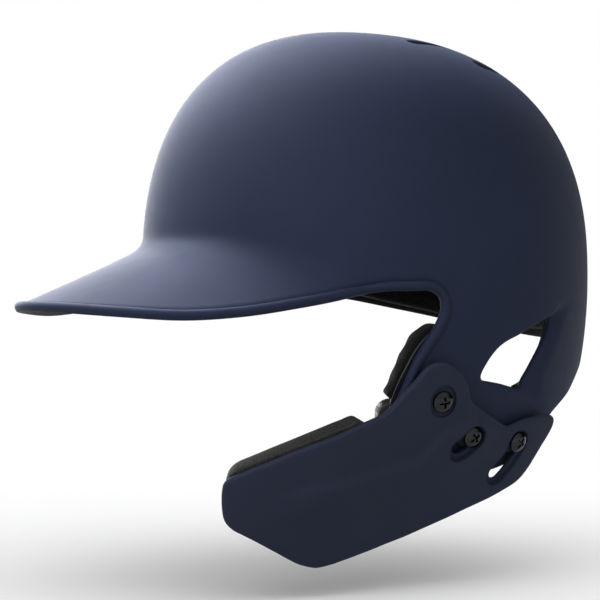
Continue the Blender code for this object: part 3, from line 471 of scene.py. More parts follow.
def curved_wall(name, form, loops, outside, inner, spacing):
    """A closed wall over a form, between two offsets along its normal.

    loops are (outline, rows, step): the outer outline, then the holes, each with the distances from
    its edge at which rows of points run and the distance between points along it.  outside and
    inner give the two offsets from the distance to a loop's edge, the loop's number and the place.
    """
    sheet, distance, number, bands = [], [], [], []
    count = 0
    for k, (loop, rows, step) in enumerate(loops):
        loop = resample(form, loop, step)
        if (signed_area(loop) > 0) == (k > 0):
            loop = loop[::-1]
        band = []
        for row in rows:
            sheet.append(inset(form, loop, row) if row else loop)
            distance.append(np.full(len(loop), row))
            number.append(np.full(len(loop), k))
            band.append(np.arange(count, count + len(loop)))
            count += len(loop)
        bands.append(band)
    ends = np.cumsum([len(band) for band in bands]) - 1
    last = [sheet[end] for end in ends]
    middle = fill_points(form, last, spacing)
    sheet = np.vstack([*sheet, middle])
    distance = np.concatenate([*distance, np.full(len(middle), AWAY_FROM_EDGE)])
    number = np.concatenate([*number, np.full(len(middle), -1)])

    faces = []
    for band in bands:
        for lower, upper in zip(band, band[1:]):
            following = np.roll(np.arange(len(lower)), -1)
            faces += list(zip(lower, lower[following], upper[following], upper))
    index = [i for band in bands for i in band[-1]] + list(range(count, len(sheet)))
    edges, start = [], 0
    for band in bands:
        size = len(band[-1])
        edges += [(start + i, start + (i + 1) % size) for i in range(size)]
        start += size
    cut = delaunay_2d_cdt([Vector(sheet[i]) for i in index], edges, [], 1, 1e-7)
    if len(cut[0]) != len(index):
        raise ValueError(f"{name}: its outlines cross")
    triangles = np.array([[index[cut[3][i][0]] for i in face] for face in cut[2]])
    keep = in_material(last, sheet[triangles].mean(1))
    faces += [tuple(face) for face in triangles[keep]]

    point, normal, _, _ = frame_at(form, sheet)
    top = point + normal * outside(distance, number, sheet)[:, None]
    low = point + normal * inner(distance, number, sheet)[:, None]
    size = len(sheet)
    solid = [tuple(int(i) for i in face) for face in faces]
    solid += [tuple(int(i) + size for i in reversed(face)) for face in faces]
    for band in bands:
        for a, b in zip(band[0], np.roll(band[0], -1)):
            solid.append((int(a), int(a) + size, int(b) + size, int(b)))
    return make_object(name, np.vstack([top, low]), solid)


def new_object(name, data):
    thing = bpy.data.objects.new(name, data)
    bpy.context.scene.collection.objects.link(thing)
    return thing


def make_object(name, vertices, faces, sharp=60):
    """A mesh object from millimetre points, shaded smooth, with its faces turned outward."""
    mesh = bpy.data.meshes.new(name)
    mesh.from_pydata((np.asarray(vertices) * MM).tolist(), [], faces)
    solid = bmesh.new()
    solid.from_mesh(mesh)
    bmesh.ops.recalc_face_normals(solid, faces=solid.faces)
    solid.to_mesh(mesh)
    solid.free()
    mesh.shade_smooth()
    mesh.set_sharp_from_angle(angle=radians(sharp))
    return new_object(name, mesh)


# ---- materials ----
class Tree:
    """A node tree with helpers for its values."""

    def __init__(self, tree):
        self.tree = tree

    def add(self, kind, **settings):
        node = self.tree.nodes.new(kind)
        for key, value in settings.items():
            setattr(node, key, value)
        return node

    def link(self, source, target):
        self.tree.links.new(source, target)

    def math(self, operation, *values):
        node = self.add("ShaderNodeMath", operation=operation)
        for socket, value in zip(node.inputs, values):
            if isinstance(value, (int, float)):
                socket.default_value = value
            else:
                self.link(value, socket)
        return node.outputs[0]

    def blend(self, first, second, share):
        """Two values mixed, with this share of the first."""
        return self.math("ADD", self.math("MULTIPLY", first, share),
                         self.math("MULTIPLY", second, 1.0 - share))

    def spread(self, value, low, high, start=0.0, end=1.0, **settings):
        """A value from start to end, carried to low to high."""
        node = self.add("ShaderNodeMapRange", **settings)
        for key, limit in (("From Min", start), ("From Max", end), ("To Min", low),
                           ("To Max", high)):
            node.inputs[key].default_value = limit
        self.link(value, node.inputs["Value"])
        return node.outputs["Result"]


class Look(Tree):
    """A Principled material with procedural texture in the object's own metres."""

    def __init__(self, name, roughness, specular, metallic=0.0):
        self.material = bpy.data.materials.new(name)
        self.material.use_nodes = True
        super().__init__(self.material.node_tree)
        self.inputs = self.tree.nodes["Principled BSDF"].inputs
        self.inputs["Roughness"].default_value = roughness
        self.inputs["Metallic"].default_value = metallic
        self.inputs["Specular IOR Level"].default_value = specular
        self.place = self.add("ShaderNodeTexCoord").outputs["Object"]
        self.normal = None

    def texture(self, kind, output, size_mm, inputs=(), place=None, **settings):
        node = self.add(kind, **settings)
        for key, value in (("Scale", 1000.0 / size_mm), *inputs):
            node.inputs[key].default_value = value
        self.link(place or self.place, node.inputs["Vector"])
        return node.outputs[output]

    def noise(self, size_mm, detail=2.0, stretch=None):
        """Noise with features of about size_mm."""
        place = self.place
        if stretch:
            mapping = self.add("ShaderNodeMapping")
            mapping.inputs["Scale"].default_value = stretch
            self.link(place, mapping.inputs["Vector"])
            place = mapping.outputs["Vector"]
        return self.texture("ShaderNodeTexNoise", "Fac", size_mm, [("Detail", detail)], place)

    def cells(self, size_mm, feature="F1"):
        """Distance to the nearest of scattered points about size_mm apart."""
        return self.texture("ShaderNodeTexVoronoi", "Distance", size_mm, feature=feature)

    def weave(self, size_mm, direction):
        """Slightly wavy bands size_mm apart."""
        return self.texture("ShaderNodeTexWave", "Fac", size_mm * 6.3,
                            [("Distortion", 1.2), ("Detail Scale", 3.0)],
                            wave_type="BANDS", bands_direction=direction)

    def ramp(self, value, low, high, colours):
        """Colours spread evenly from low to high along a value."""
        node = self.add("ShaderNodeValToRGB")
        elements = node.color_ramp.elements
        while len(elements) < len(colours):
            elements.new(0.5)
        for k, (element, colour) in enumerate(zip(elements, colours)):
            element.position = low + (high - low) * k / (len(colours) - 1)
            element.color = (*colour, 1.0)
        self.link(value, node.inputs["Fac"])
        return node.outputs["Color"]

    def colour(self, *ramp):
        self.link(self.ramp(*ramp), self.inputs["Base Color"])

    def roughness(self, value, low, high):
        self.link(self.spread(value, low, high), self.inputs["Roughness"])

    def bump(self, value, depth_mm, strength):
        """Adds a bump of a real depth; several calls stack."""
        node = self.add("ShaderNodeBump")
        node.inputs["Strength"].default_value = strength
        node.inputs["Distance"].default_value = depth_mm * MM
        self.link(value, node.inputs["Height"])
        if self.normal is not None:
            self.link(self.normal, node.inputs["Normal"])
        self.normal = node.outputs["Normal"]
        self.link(self.normal, self.inputs["Normal"])


def shade(colour, factor):
    return tuple(c * factor for c in colour)


def grey(level, blue=None):
    return level, level, blue or level


NAVY = (0.0130, 0.0188, 0.0425)
GUARD_NAVY = (0.0175, 0.0225, 0.0430)
PAINT_ROUGHNESS = 0.7
PAINT_GLOSS_TINT = (0.78, 0.87, 1.0, 1.0)


def matte_paint(name, colour, grain_mm):
    """Matte navy paint: a fine orange peel, its crests painted lighter and its dips darker as light
    and shade, and a slow drift in tone.
    """
    look = Look(name, PAINT_ROUGHNESS, 0.25)
    look.inputs["Specular Tint"].default_value = PAINT_GLOSS_TINT
    fine = look.noise(grain_mm)
    # painted light and shade: the fine grain that bumps the paint also sets a quarter of its tone,
    # lighter where it stands up
    look.colour(look.blend(look.noise(60.0, 3.0), fine, 0.75), 0.3, 0.7,
                [shade(colour, 0.9), colour, shade(colour, 1.12)])
    look.roughness(look.noise(9.0, 4.0), PAINT_ROUGHNESS - 0.04, PAINT_ROUGHNESS + 0.05)
    look.bump(look.noise(2.2), 0.025, 0.5)
    look.bump(fine, 0.012, 0.6)
    return look.material


def bead_foam(name):
    """Expanded bead foam: packed polygons with thin creases between them, each bead painted lighter
    in its middle and darker toward the creases, as shade.
    """
    look = Look(name, 0.7, 0.12)
    crease = look.cells(4.2, "DISTANCE_TO_EDGE")
    # painted shade: the tone darkens from each bead's middle toward the sunken creases
    look.colour(look.cells(4.2), 0.0, 0.8, [grey(0.009, 0.0095), grey(0.0055, 0.006)])
    look.bump(look.ramp(crease, 0.0, 0.16, [(0, 0, 0), (1, 1, 1)]), 0.35, 0.8)
    look.bump(look.noise(0.7), 0.05, 0.6)
    look.roughness(crease, 0.8, 0.6)
    return look.material


def cut_foam(name, colour, grain_mm, depth_mm):
    """Cut foam: small open pores, painted darker as shade in their hollows, between lighter cell
    walls.
    """
    look = Look(name, 0.9, 0.25)
    pores = look.blend(look.cells(grain_mm), look.noise(grain_mm * 1.7, 4.0), 0.6)
    # painted shade: the same pattern sinks the pores and gives them the darker colour
    look.colour(pores, 0.25, 0.7, [shade(colour, 1.5), colour, shade(colour, 0.45)])
    look.bump(pores, -depth_mm, 0.9)
    look.bump(look.noise(grain_mm * 6), depth_mm, 0.4)
    return look.material


def brushed_knit(name):
    """Black brushed knit: fine ribs under a short fuzzy nap, painted darker in their low places and
    lighter on their tops, as shade and light.
    """
    look = Look(name, 0.95, 0.1)
    look.inputs["Sheen Weight"].default_value = 0.08
    look.inputs["Sheen Roughness"].default_value = 0.6
    ribs = look.math("MULTIPLY", look.weave(0.9, "Z"), look.weave(0.9, "Y"))
    nap = look.noise(0.45, 4.0)
    # painted shade and light: the ribs and nap that raise the cloth also make it darker low down
    # and lighter on top
    look.colour(look.blend(ribs, nap, 0.4), 0.2, 0.8,
                [grey(0.0025, 0.003), grey(0.005, 0.0055), grey(0.012, 0.0125)])
    look.bump(ribs, 0.12, 0.6)
    look.bump(nap, 0.12, 0.7)
    return look.material


def patterned(look, value, ramp, depth_mm, strength):
    """Colour and relief from one pattern: a thread's twist or rows of small hooks, painted darker
    in the relief's low places, as shade.
    """
    # painted shade: the ramp puts its darker colour where the bump below sinks
    look.colour(value, *ramp)
    look.bump(value, depth_mm, strength)
    return look.material


def moulded(name, roughness, specular, tone, gloss=None, bumps=(), metallic=0.0):
    """A plain material whose tone, gloss and relief each follow a noise.

    tone is (noise, low, high, colours), gloss is (noise, low, high) and each bump is (noise, depth,
    strength), where a noise is its size in millimetres, its detail and any stretch.
    """
    look = Look(name, roughness, specular, metallic)
    look.colour(look.noise(*tone[0]), *tone[1:])
    if gloss:
        look.roughness(look.noise(*gloss[0]), *gloss[1:])
    for noise, depth_mm, strength in bumps:
        look.bump(look.noise(*noise), depth_mm, strength)
    return look.material


def plated(name, colour, low, high, grain_mm):
    """Plated metal with a fine grain in its gloss."""
    tone = ((3.0, 4.0), 0.3, 0.7, [shade(colour, 0.85), shade(colour, 1.1)])
    return moulded(name, low, 0.5, tone, ((grain_mm, 4.0), low, high),
                   [((grain_mm * 1.5, 3.0), 0.008, 0.5)], metallic=1.0)


def pad_materials():
    """Cloth, thread, hook tape and the two moulded pieces of the pads."""
    thread, hooks = Look("pad_thread", 0.6, 0.4), Look("hook_tape", 0.7, 0.5)
    return {
        "cloth": brushed_knit("pad_cloth"),
        # The thread and hook ramps give the darker grey to the pattern's low places, as painted
        # shade.
        "thread": patterned(thread, thread.weave(0.35, "DIAGONAL"),
                            (0.0, 1.0, [grey(0.012, 0.013), grey(0.035, 0.037)]), 0.03, 0.8),
        "hooks": patterned(hooks, hooks.cells(0.8), (0.0, 0.7, [grey(0.03), grey(0.006)]),
                           -0.3, 1.0),
        "gloss": moulded("backing_gloss", 0.16, 0.6,
                         ((20.0,), 0.3, 0.7, [grey(0.012, 0.013), grey(0.018, 0.02)]),
                         ((2.5, 5.0, (1.0, 1.0, 0.2)), 0.1, 0.26), [((7.0,), 0.06, 0.4)]),
        "grey_foam": moulded("grey_foam", 0.5, 0.45,
                             ((8.0, 3.0), 0.3, 0.7, [grey(0.03, 0.031), grey(0.045, 0.047)]),
                             ((4.0, 3.0), 0.42, 0.6), [((0.9, 3.0), 0.03, 0.6)])}


def bare_plastic(name):
    """Unpainted black moulding with a light grain and a few paler rubs."""
    return moulded(name, 0.6, 0.2,
                   ((14.0, 4.0), 0.35, 0.7, [grey(0.006, 0.0065), grey(0.01, 0.011)]),
                   ((3.0, 4.0), 0.5, 0.7), [((0.8, 3.0), 0.03, 0.5)])


def rubber(name):
    return moulded(name, 0.75, 0.35, ((1.5, 4.0), 0.3, 0.7, [grey(0.013), grey(0.022)]),
                   bumps=[((0.5, 3.0), 0.02, 0.6)])


def seamless_paper(name):
    """Pale studio floor with the faintest paper tooth."""
    return moulded(name, 0.9, 0.1, ((400.0, 3.0), 0.3, 0.7, [grey(0.93), grey(0.96)]),
                   bumps=[((1.2,), 0.02, 0.2)])


# ---- placing ----
def finish(piece, body, material, nodes):
    """Gives a piece its material and its body, and hides the frame nodes it stands in for."""
    piece.data.materials.append(material)
    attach(piece, body)
    if nodes:
        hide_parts(*nodes)


def repaint(node, material):
    """A better material for a frame node that keeps its own shape."""
    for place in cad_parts[node].material_slots:
        place.material = material


RECESS_DEPTH = 3.4
RECESS_SLOPE = 10.0         # how far the hollow takes to rise to its soft edge
RECESS_STEP = 2.0           # and to its sharp one
# the sharp upper edge of the hollow round the ear hole, then its soft rear and lower edge (y, z)
RECESS_CREASE = [(0, -47), (7.7, -35), (22, -28), (46, -19), (58, -13), (73, -6.5)]
RECESS_SOFT = [
    (58, -21), (53, -31), (47, -41), (42.5, -50), (43, -57), (46, -64), (34, -62), (20, -58.8),
    (4, -55), (-2, -52)]


def distance_to_line(points, line):
    """Distance from each point to a polyline in a plane."""
    best = np.full(len(points), np.inf)
    for start, end in zip(line[:-1], line[1:]):
        along = end - start
        t = np.clip(((points - start) @ along) / (along @ along), 0.0, 1.0)
        best = np.minimum(best, np.linalg.norm(points - start - t[:, None] * along, axis=1))
    return best


def recess(sheet):
    """How deep the hollow round the ear hole is at each place."""
    point = wall_form(sheet)
    side = point[:, 1:]
    crease, soft = np.array(RECESS_CREASE, float), np.array(RECESS_SOFT, float)
    within = inside(np.vstack([crease, soft]), side) & (point[:, 0] > 0)
    from_soft = distance_to_line(side, np.vstack([crease[-1:], soft, crease[:1]]))
    from_crease = distance_to_line(side, crease)
    share = smoothstep(0, RECESS_SLOPE, from_soft) * smoothstep(-0.5, RECESS_STEP, from_crease)
    return np.where(within, RECESS_DEPTH * share, 0.0)


GUARD_PAD_GAP = 0.5
GUARD_PAD_WALL = 11.0
GUARD_RELIEF = 1.8
RIDGE_RUN = 2.4             # how far the relief takes to rise along its ridge
FOLD_RUN = 13.0             # and along its fold
RELIEF_ENDS = (-108.0, -80.0)       # y where it sets in behind the guard's front end
# the band between these two lines of the guard stands proud: a stepped ridge and a soft fold (y, z)
GUARD_RIDGE = [
    (-110, -101), (-85, -94.7), (-60, -89.5), (-32.7, -83.6), (-25.8, -74.3), (-19.7, -69.8),
    (-8, -66)]
GUARD_FOLD = [(13, -71.5), (9, -84.8), (-2.3, -94.9), (-25.1, -103.4), (-60, -113), (-110, -120)]


def guard_relief(sheet):
    """How far the guard's raised band stands out at each place."""
    side = guard_form(sheet)[:, 1:]
    ridge, fold = np.array(GUARD_RIDGE), np.array(GUARD_FOLD)
    within = inside(np.vstack([ridge, fold]), side)
    rise = smoothstep(0, RIDGE_RUN, distance_to_line(side, ridge))
    fall = smoothstep(0, FOLD_RUN, distance_to_line(side, fold))
    ends = smoothstep(*RELIEF_ENDS, side[:, 0])
    return np.where(within, GUARD_RELIEF * rise * fall * ends, 0.0)


def screw_seat(y_z):
    """Point on the guard's form, outward direction, and point on the flap, of a screw."""
    place = on_wall([y_z])
    point, normal, _, _ = frame_at(guard_form, place)
    return point[0], normal[0], wall_form(place)[0]


SCREWS = {"pivot": screw_seat(PIVOT), "front_slot": screw_seat(FRONT_SCREW),
          "rear_slot": screw_seat(REAR_SCREW)}
SLOTS = ("front_slot", "rear_slot")


def about_pivot(angle):
    """The pivot screw's place and the guard's turn about it."""
    pivot, axis = (Vector(v) for v in SCREWS["pivot"][:2])
    return pivot, Matrix.Rotation(angle, 3, axis)


def axes_along(normal, point):
    """Placement whose local Z runs along a direction from a millimetre point."""
    turn = Vector(normal).to_track_quat("Z", "Y")
    return Matrix.Translation(Vector(point) * MM) @ turn.to_matrix().to_4x4()


def seen_from_guard(name, steps):
    """Each slot screw's place and direction as the guard sees them while it tilts."""
    place, normal = (Vector(v) for v in SCREWS[name][:2])
    seen = []
    for k in range(steps + 1):
        pivot, turn = about_pivot(-GUARD_TRAVEL * k / steps)
        seen.append((np.array(pivot + turn @ (place - pivot)), np.array(turn @ normal)))
    return seen


def rounded_patch(azimuth, z, half_angle, half_height):
    """A rounded rectangle on the wall about one azimuth (degrees) and height."""
    turn = turns(24)
    swing = np.sign(np.cos(turn)) * np.abs(np.cos(turn)) ** 0.5
    climb = np.sign(np.sin(turn)) * np.abs(np.sin(turn)) ** 0.5
    return around(np.stack([azimuth + half_angle * swing, z + half_height * climb], 1))


CROWN_PAD_Y = -4.0


def crown_patch(radius):
    """A circle on top of the dome."""
    turn = turns(24)
    return on_top(np.stack([radius * np.cos(turn), CROWN_PAD_Y + radius * np.sin(turn)], 1))


# ---- shell ----
EDGE_RADIUS = 1.3
INNER_EDGE_RADIUS = 0.9
BEAD_RADIUS = 2.3           # the rolled bead round the face opening and the brim
BEAD_SINK = 0.9             # how far its middle lies under the surface
GROOVE_END = 6.2            # distance from the edge where the groove behind it has run out
GROOVE_DEPTH = 0.55
SHELL_STEP = 3.0


def bead(distance):
    """Offset of the bead's round top and of the groove behind it."""
    across = np.clip((distance - BEAD_RADIUS) / BEAD_RADIUS, -1.0, 1.0)
    top = BEAD_RADIUS * np.sqrt(1.0 - across ** 2) - BEAD_SINK
    groove = -GROOVE_DEPTH * (1.0 - smoothstep(2 * BEAD_RADIUS, GROOVE_END, distance))
    return np.where(distance < BEAD_RADIUS, top, np.maximum(top, groove))


def fine_shell_outside(distance, number, sheet):
    azimuth, _ = polar(sheet)
    plain = -rounded(distance, EDGE_RADIUS)
    fade = smoothstep(*BEAD_FADE, np.abs(azimuth))
    edge = np.where(number == 0, bead(distance) * (1 - fade) + plain * fade, plain)
    return edge - recess(sheet)


def fine_shell_inside(distance, number, sheet):
    return -SHELL_WALL + rounded(distance, INNER_EDGE_RADIUS) - recess(sheet)


BEAD_ROWS = [0.0, 0.12, 0.45, 1.0, 1.6, 2.3, 3.0, 3.6, 4.1, 4.4, 4.7, 5.3, 6.2, 7.4]


def add_shell(material, bare):
    """Dome, brim, ear flap, ear hole, vents and nut holes; only the outside is painted."""
    hole_rows = rounded_rows(EDGE_RADIUS) + [2.2]
    loops = [(smooth_curve(rim_outline(), 6), BEAD_ROWS, 2.6),
             (smooth_curve(ear_hole_outline(), 8), hole_rows, 1.4)]
    loops += [(vent, hole_rows, 1.2) for vent in vent_outlines()]
    loops += [(round_hole(shell_form, place, SHELL_HOLE_RADIUS, 24), [0.0, 0.4, 0.9], 1.1)
              for place in on_wall([PIVOT, FRONT_SCREW, REAR_SCREW])]
    shell = curved_wall("helmet_shell", shell_form, loops, fine_shell_outside, fine_shell_inside,
                        SHELL_STEP)
    finish(shell, "root", material, ["outer_shell"])
    shell.data.materials.append(bare)
    inner_points = len(shell.data.vertices) // 2
    for face in shell.data.polygons:
        face.material_index = int(min(face.vertices) >= inner_points)


# ---- jaw guard ----
GUARD_TOP = GUARD_GAP + GUARD_WALL
GUARD_EDGE = 1.6
POCKET_FLOOR = GUARD_TOP - POCKET_DEPTH
POCKET_EDGE = 0.5
POCKET_WALL = 0.1           # how far a pocket's wall leans out


def place_near(form, targets, start):
    """Sheet coordinates of the nearest places on a form to points in space."""
    sheet = np.array(start, float)
    for _ in range(6):
        point, _, d_u, d_v = frame_at(form, sheet)
        gap = targets - point
        e, f, g = metric(d_u, d_v)
        a, b = (gap * d_u).sum(-1), (gap * d_v).sum(-1)
        size = e * g - f * f
        sheet = sheet + np.stack([(g * a - f * b) / size, (e * b - f * a) / size], 1)
    return sheet


def slot_outline(name):
    """The arc slot in the guard: the screw's path with round ends."""
    path = [place for place, _ in seen_from_guard(name, 12)]
    normal = SCREWS[name][1]
    places = place_near(guard_form, np.array(path), on_guard([p[1:] for p in path]))
    steps = list(range(len(path)))
    rim, start = [], []
    for side, order in ((1, steps), (-1, steps[::-1])):
        for i in order:
            ahead = path[min(i + 1, len(path) - 1)] - path[max(i - 1, 0)]
            across = np.cross(ahead, normal)
            rim.append(path[i] + side * SLOT_RADIUS * across / np.linalg.norm(across))
            start.append(places[i])
        tip, before = path[order[-1]], path[order[-2]]
        heading = (tip - before) / np.linalg.norm(tip - before)
        across = np.cross(heading, normal)
        for k in range(1, 8):
            turn = pi * k / 8
            rim.append(tip + SLOT_RADIUS * (cos(turn) * across + sin(turn) * heading))
            start.append(places[order[-1]])
    return place_near(guard_form, np.array(rim), np.array(start))


def slot_floor(sheet, name):
    """Offset of a slot's floor, square to the screw wherever the screw passes."""
    point, normal, _, _ = frame_at(guard_form, sheet)
    nearest = np.full(len(sheet), np.inf)
    floor = np.full(len(sheet), POCKET_FLOOR)
    for place, way in seen_from_guard(name, 24):
        away = np.linalg.norm(point - place, axis=1)
        offset = ((place + way * POCKET_FLOOR - point) @ way) / (normal @ way)
        floor = np.where(away < nearest, offset, floor)
        nearest = np.minimum(nearest, away)
    return floor


COUNTERBORE_REACH = COUNTERBORE_RADIUS - PIVOT_HOLE_RADIUS
POCKET_REACH = POCKET_RADIUS - SLOT_RADIUS


def fine_guard_outside(distance, number, sheet):
    """Rounded outer edge; round each hole a pocket with a flat floor and a rounded brink."""
    full = GUARD_TOP + guard_relief(sheet)
    floor = np.full(len(sheet), POCKET_FLOOR)
    for k, name in enumerate(SLOTS, 2):
        floor = np.where(number == k, slot_floor(sheet, name), floor)
    reach = np.where(number == 1, COUNTERBORE_REACH, POCKET_REACH)
    brink = full - rounded(distance - reach - POCKET_WALL, POCKET_EDGE)
    pocket = np.where(distance <= reach, floor, brink)
    return np.where(number > 0, pocket, full - rounded(distance, GUARD_EDGE))


def fine_guard_inside(distance, number, sheet):
    return GUARD_GAP + np.where(number == 0, rounded(distance, 1.2), 0.0)


def pocket_rows(reach):
    brink = [reach + POCKET_WALL + row for row in rounded_rows(POCKET_EDGE, 3)]
    return [0.0, reach / 2, reach - 0.1, reach] + brink + [brink[-1] + 0.3]


def add_guard(material):
    """The jaw guard with its counterbore, its two arc slots and their pockets."""
    pivot = on_wall([PIVOT])[0]
    loops = [(smooth_curve(guard_outline(), 6), rounded_rows(GUARD_EDGE, 5), 1.8),
             (round_hole(guard_form, pivot, PIVOT_HOLE_RADIUS, 40),
              pocket_rows(COUNTERBORE_REACH), 0.5)]
    loops += [(slot_outline(name), pocket_rows(POCKET_REACH), 0.6) for name in SLOTS]
    guard = curved_wall("jaw_guard", guard_form, loops, fine_guard_outside, fine_guard_inside, 2.2)
    finish(guard, "guard", material, ["face_guard"])


# ---- screws ----
HEAD_CLEARANCE = 0.35
HEAD_SEAT = POCKET_FLOOR + HEAD_CLEARANCE
HEAD_SEGMENTS = 96
CHAMFER = 0.12              # narrows the head's top
CHAMFER_TOP = 1.15          # height on the head where the rounded top begins
SCREW_TURN = {"pivot": radians(8), "front_slot": radians(38), "rear_slot": radians(62)}
CROSS_REACH = 2.9
CROSS_WIDTH = 1.05
CROSS_DEPTH = 1.7


def cross_depth(x, y):
    """Depth of the cross recess at a place on the head."""
    near, far = np.minimum(np.abs(x), np.abs(y)), np.maximum(np.abs(x), np.abs(y))
    arm = 1.0 - smoothstep(CROSS_WIDTH / 2 - 0.12, CROSS_WIDTH / 2 + 0.12, near)
    length = 1.0 - smoothstep(CROSS_REACH - 0.5, CROSS_REACH, far)
    heart = 1.0 - smoothstep(0.5, 1.0, np.hypot(x, y))
    slope = 1.0 - 0.4 * np.clip(far / CROSS_REACH, 0, 1)
    return CROSS_DEPTH * np.maximum(arm * length * slope, heart)


def add_screw(name, material):
    """Pan head screw: rounded head with a flat land, a chamfered rim and a cross recess."""
    point, normal, _ = SCREWS[name]
    shank_end = -(HEAD_SEAT + SHELL_WALL + SHANK_BEYOND)
    profile = [(0.0, shank_end), (SHANK_RADIUS * 0.8, shank_end), (SHANK_RADIUS, shank_end + 0.7),
               (SHANK_RADIUS, -0.05), (HEAD_RADIUS - 0.3, 0.0), (HEAD_RADIUS, 0.25),
               (HEAD_RADIUS, 0.85), (HEAD_RADIUS - CHAMFER, CHAMFER_TOP)]
    for k in range(1, 28):
        share = 1.0 - k / 28
        rise = (HEAD_HEIGHT - 1.2) * (1.0 - share ** 2.6)
        profile.append(((HEAD_RADIUS - CHAMFER) * share, CHAMFER_TOP + rise))
    vertices, rings = [(0.0, 0.0, shank_end)], [[0]]
    turn = turns(HEAD_SEGMENTS)
    for radius, height in profile[1:]:
        x, y = radius * np.cos(turn), radius * np.sin(turn)
        drop = cross_depth(x, y) if height > CHAMFER_TOP + 0.05 else np.zeros(HEAD_SEGMENTS)
        rings.append(list(range(len(vertices), len(vertices) + HEAD_SEGMENTS)))
        vertices += list(zip(x, y, height - drop))
    rings.append([len(vertices)])
    vertices.append((0.0, 0.0, HEAD_HEIGHT - CROSS_DEPTH))
    faces = []
    for low, high in zip(rings, rings[1:]):
        for k in range(HEAD_SEGMENTS):
            following = (k + 1) % HEAD_SEGMENTS
            corners = [low[k % len(low)], low[following % len(low)],
                       high[following % len(high)], high[k % len(high)]]
            faces.append(tuple(dict.fromkeys(corners)))
    screw = make_object(f"{name}_screw", vertices, faces, 35)
    seat = np.array(point) + np.array(normal) * HEAD_SEAT
    screw.matrix_world = axes_along(normal, seat) @ Matrix.Rotation(SCREW_TURN[name], 4, "Z")
    finish(screw, "root", material, [f"guard_{name}_screw"])


# ---- foam ----
LINER_TOP = -SHELL_WALL - LINER_GAP
LINER_BASE = LINER_TOP - LINER_WALL
PATCH_TOP = LINER_BASE - PATCH_GAP
PAD_TOP = PATCH_TOP - PATCH_WALL - PATCH_GAP
FLAP_LINER_TOP = LINER_TOP - 0.7
FLAP_HOLLOW = 1.3           # how much deeper than the shell's hollow the flap's foam runs
CHANNEL_DEPTH = 2.2
CHANNELS = np.radians([-90, -46, 46, 90, 135, -135])     # grooves that run up the liner's inside


def plain_outside(top, radius):
    return lambda distance, number, sheet: top - rounded(distance, radius)


def plain_inside(low, radius):
    return lambda distance, number, sheet: low + rounded(distance, radius)


def liner_inside(distance, number, sheet):
    """The liner's inner face, with moulded air channels between the pads."""
    azimuth, angle = polar(sheet)
    girth = 90.0 * np.sin(np.minimum(angle, pi / 2))
    away = np.full(len(sheet), 100.0)
    for channel in CHANNELS:
        across = np.abs((azimuth - channel + pi) % (2 * pi) - pi) * girth
        away = np.minimum(away, across)
    share = (1.0 - smoothstep(3.0, 5.5, away)) * smoothstep(radians(28), radians(34), angle)
    return LINER_BASE + rounded(distance, 2.5) + CHANNEL_DEPTH * share


def add_impact_liner(material):
    rim = around([
        (0, 5), (20, 5), (40, 3), (55, 0), (68, -1), (80, -2), (95, -3), (115, -4), (135, -8),
        (150, -20), (165, -28), (180, -29), (195, -26.5), (207, -22), (221, -15.5), (235, -9),
        (250, -4.5), (266, -2), (281, -1), (296, -1), (310, 1), (325, 4), (342, 5)])
    loops = [(smooth_curve(rim, 6), rounded_rows(2.5), 4.0)]
    loops += [(vent, [0.0, 1.0], 1.6) for vent in vent_outlines()]
    liner = curved_wall("foam_liner", wall_form, loops, plain_outside(LINER_TOP, 1.5),
                        liner_inside, 4.5)
    finish(liner, "root", material, ["impact_liner"])


def add_flap_liner(material):
    outline = on_wall([
        (-17, -13), (-19, -21), (-22.5, -31), (-24, -41), (-19, -47.5), (-14.5, -53), (-14, -61),
        (-18, -67), (-26, -68.5), (-34, -69), (-37, -75), (-35.5, -83), (-29, -89), (-14, -92),
        (3, -90.5), (11, -88), (14, -81.5), (16, -74), (22, -69), (29, -69.5), (34, -73),
        (42, -71), (54, -62), (70, -50), (82, -39), (85, -31), (79, -22), (64, -13.5), (42, -10),
        (16, -9), (-8, -9)])
    well = on_wall([
        (-8, -34), (-7, -44), (0, -53), (14, -59.5), (32, -60), (46, -50), (56, -36), (60, -24),
        (52, -16), (34, -15), (14, -16), (-3, -21)])
    nut = round_hole(wall_form, on_wall([FRONT_SCREW])[0], NUT_FLANGE_RADIUS + 2.6, 24)

    def outside(distance, number, sheet):
        return FLAP_LINER_TOP - FLAP_HOLLOW * recess(sheet) - rounded(distance, 1.0)

    def inner(distance, number, sheet):
        low = FLAP_LINER_TOP - FLAP_LINER_WALL - FLAP_HOLLOW * recess(sheet)
        return low + rounded(distance, 2.0)

    rows = rounded_rows(2.0)
    loops = [(smooth_curve(outline, 4), rows, 2.4), (smooth_curve(well, 4), rows, 2.4),
             (nut, [0.0, 0.6, 1.2], 1.8)]
    liner = curved_wall("ear_flap_foam", wall_form, loops, outside, inner, 3.0)
    finish(liner, "root", material, ["ear_flap_liner"])


# ---- pads ----
HEM = 2.6                   # width of the flat sewn edge round a cloth pad
HEM_WALL = 1.3
CROWN_RUN = 7.0             # how far a pad's face takes to rise from its hem to full height
STITCH_STEP = 2.6


def reach_from(form, outline):
    """The true distance of any place from an outline, as a function of the place."""
    edge = form(resample(form, outline, 1.0))
    return lambda sheet: distance_to_points(form(sheet), edge)


def soft_block(name, outline, top, low, radius, step):
    """A foam block with a well rounded inner face."""
    reach = reach_from(wall_form, outline)
    rows = [0.0, 0.06 * radius, 0.2 * radius]
    return curved_wall(name, wall_form, [(outline, rows, 1.1)], plain_outside(top, 0.5),
                       lambda distance, number, sheet: low + rounded(reach(sheet), radius), step)


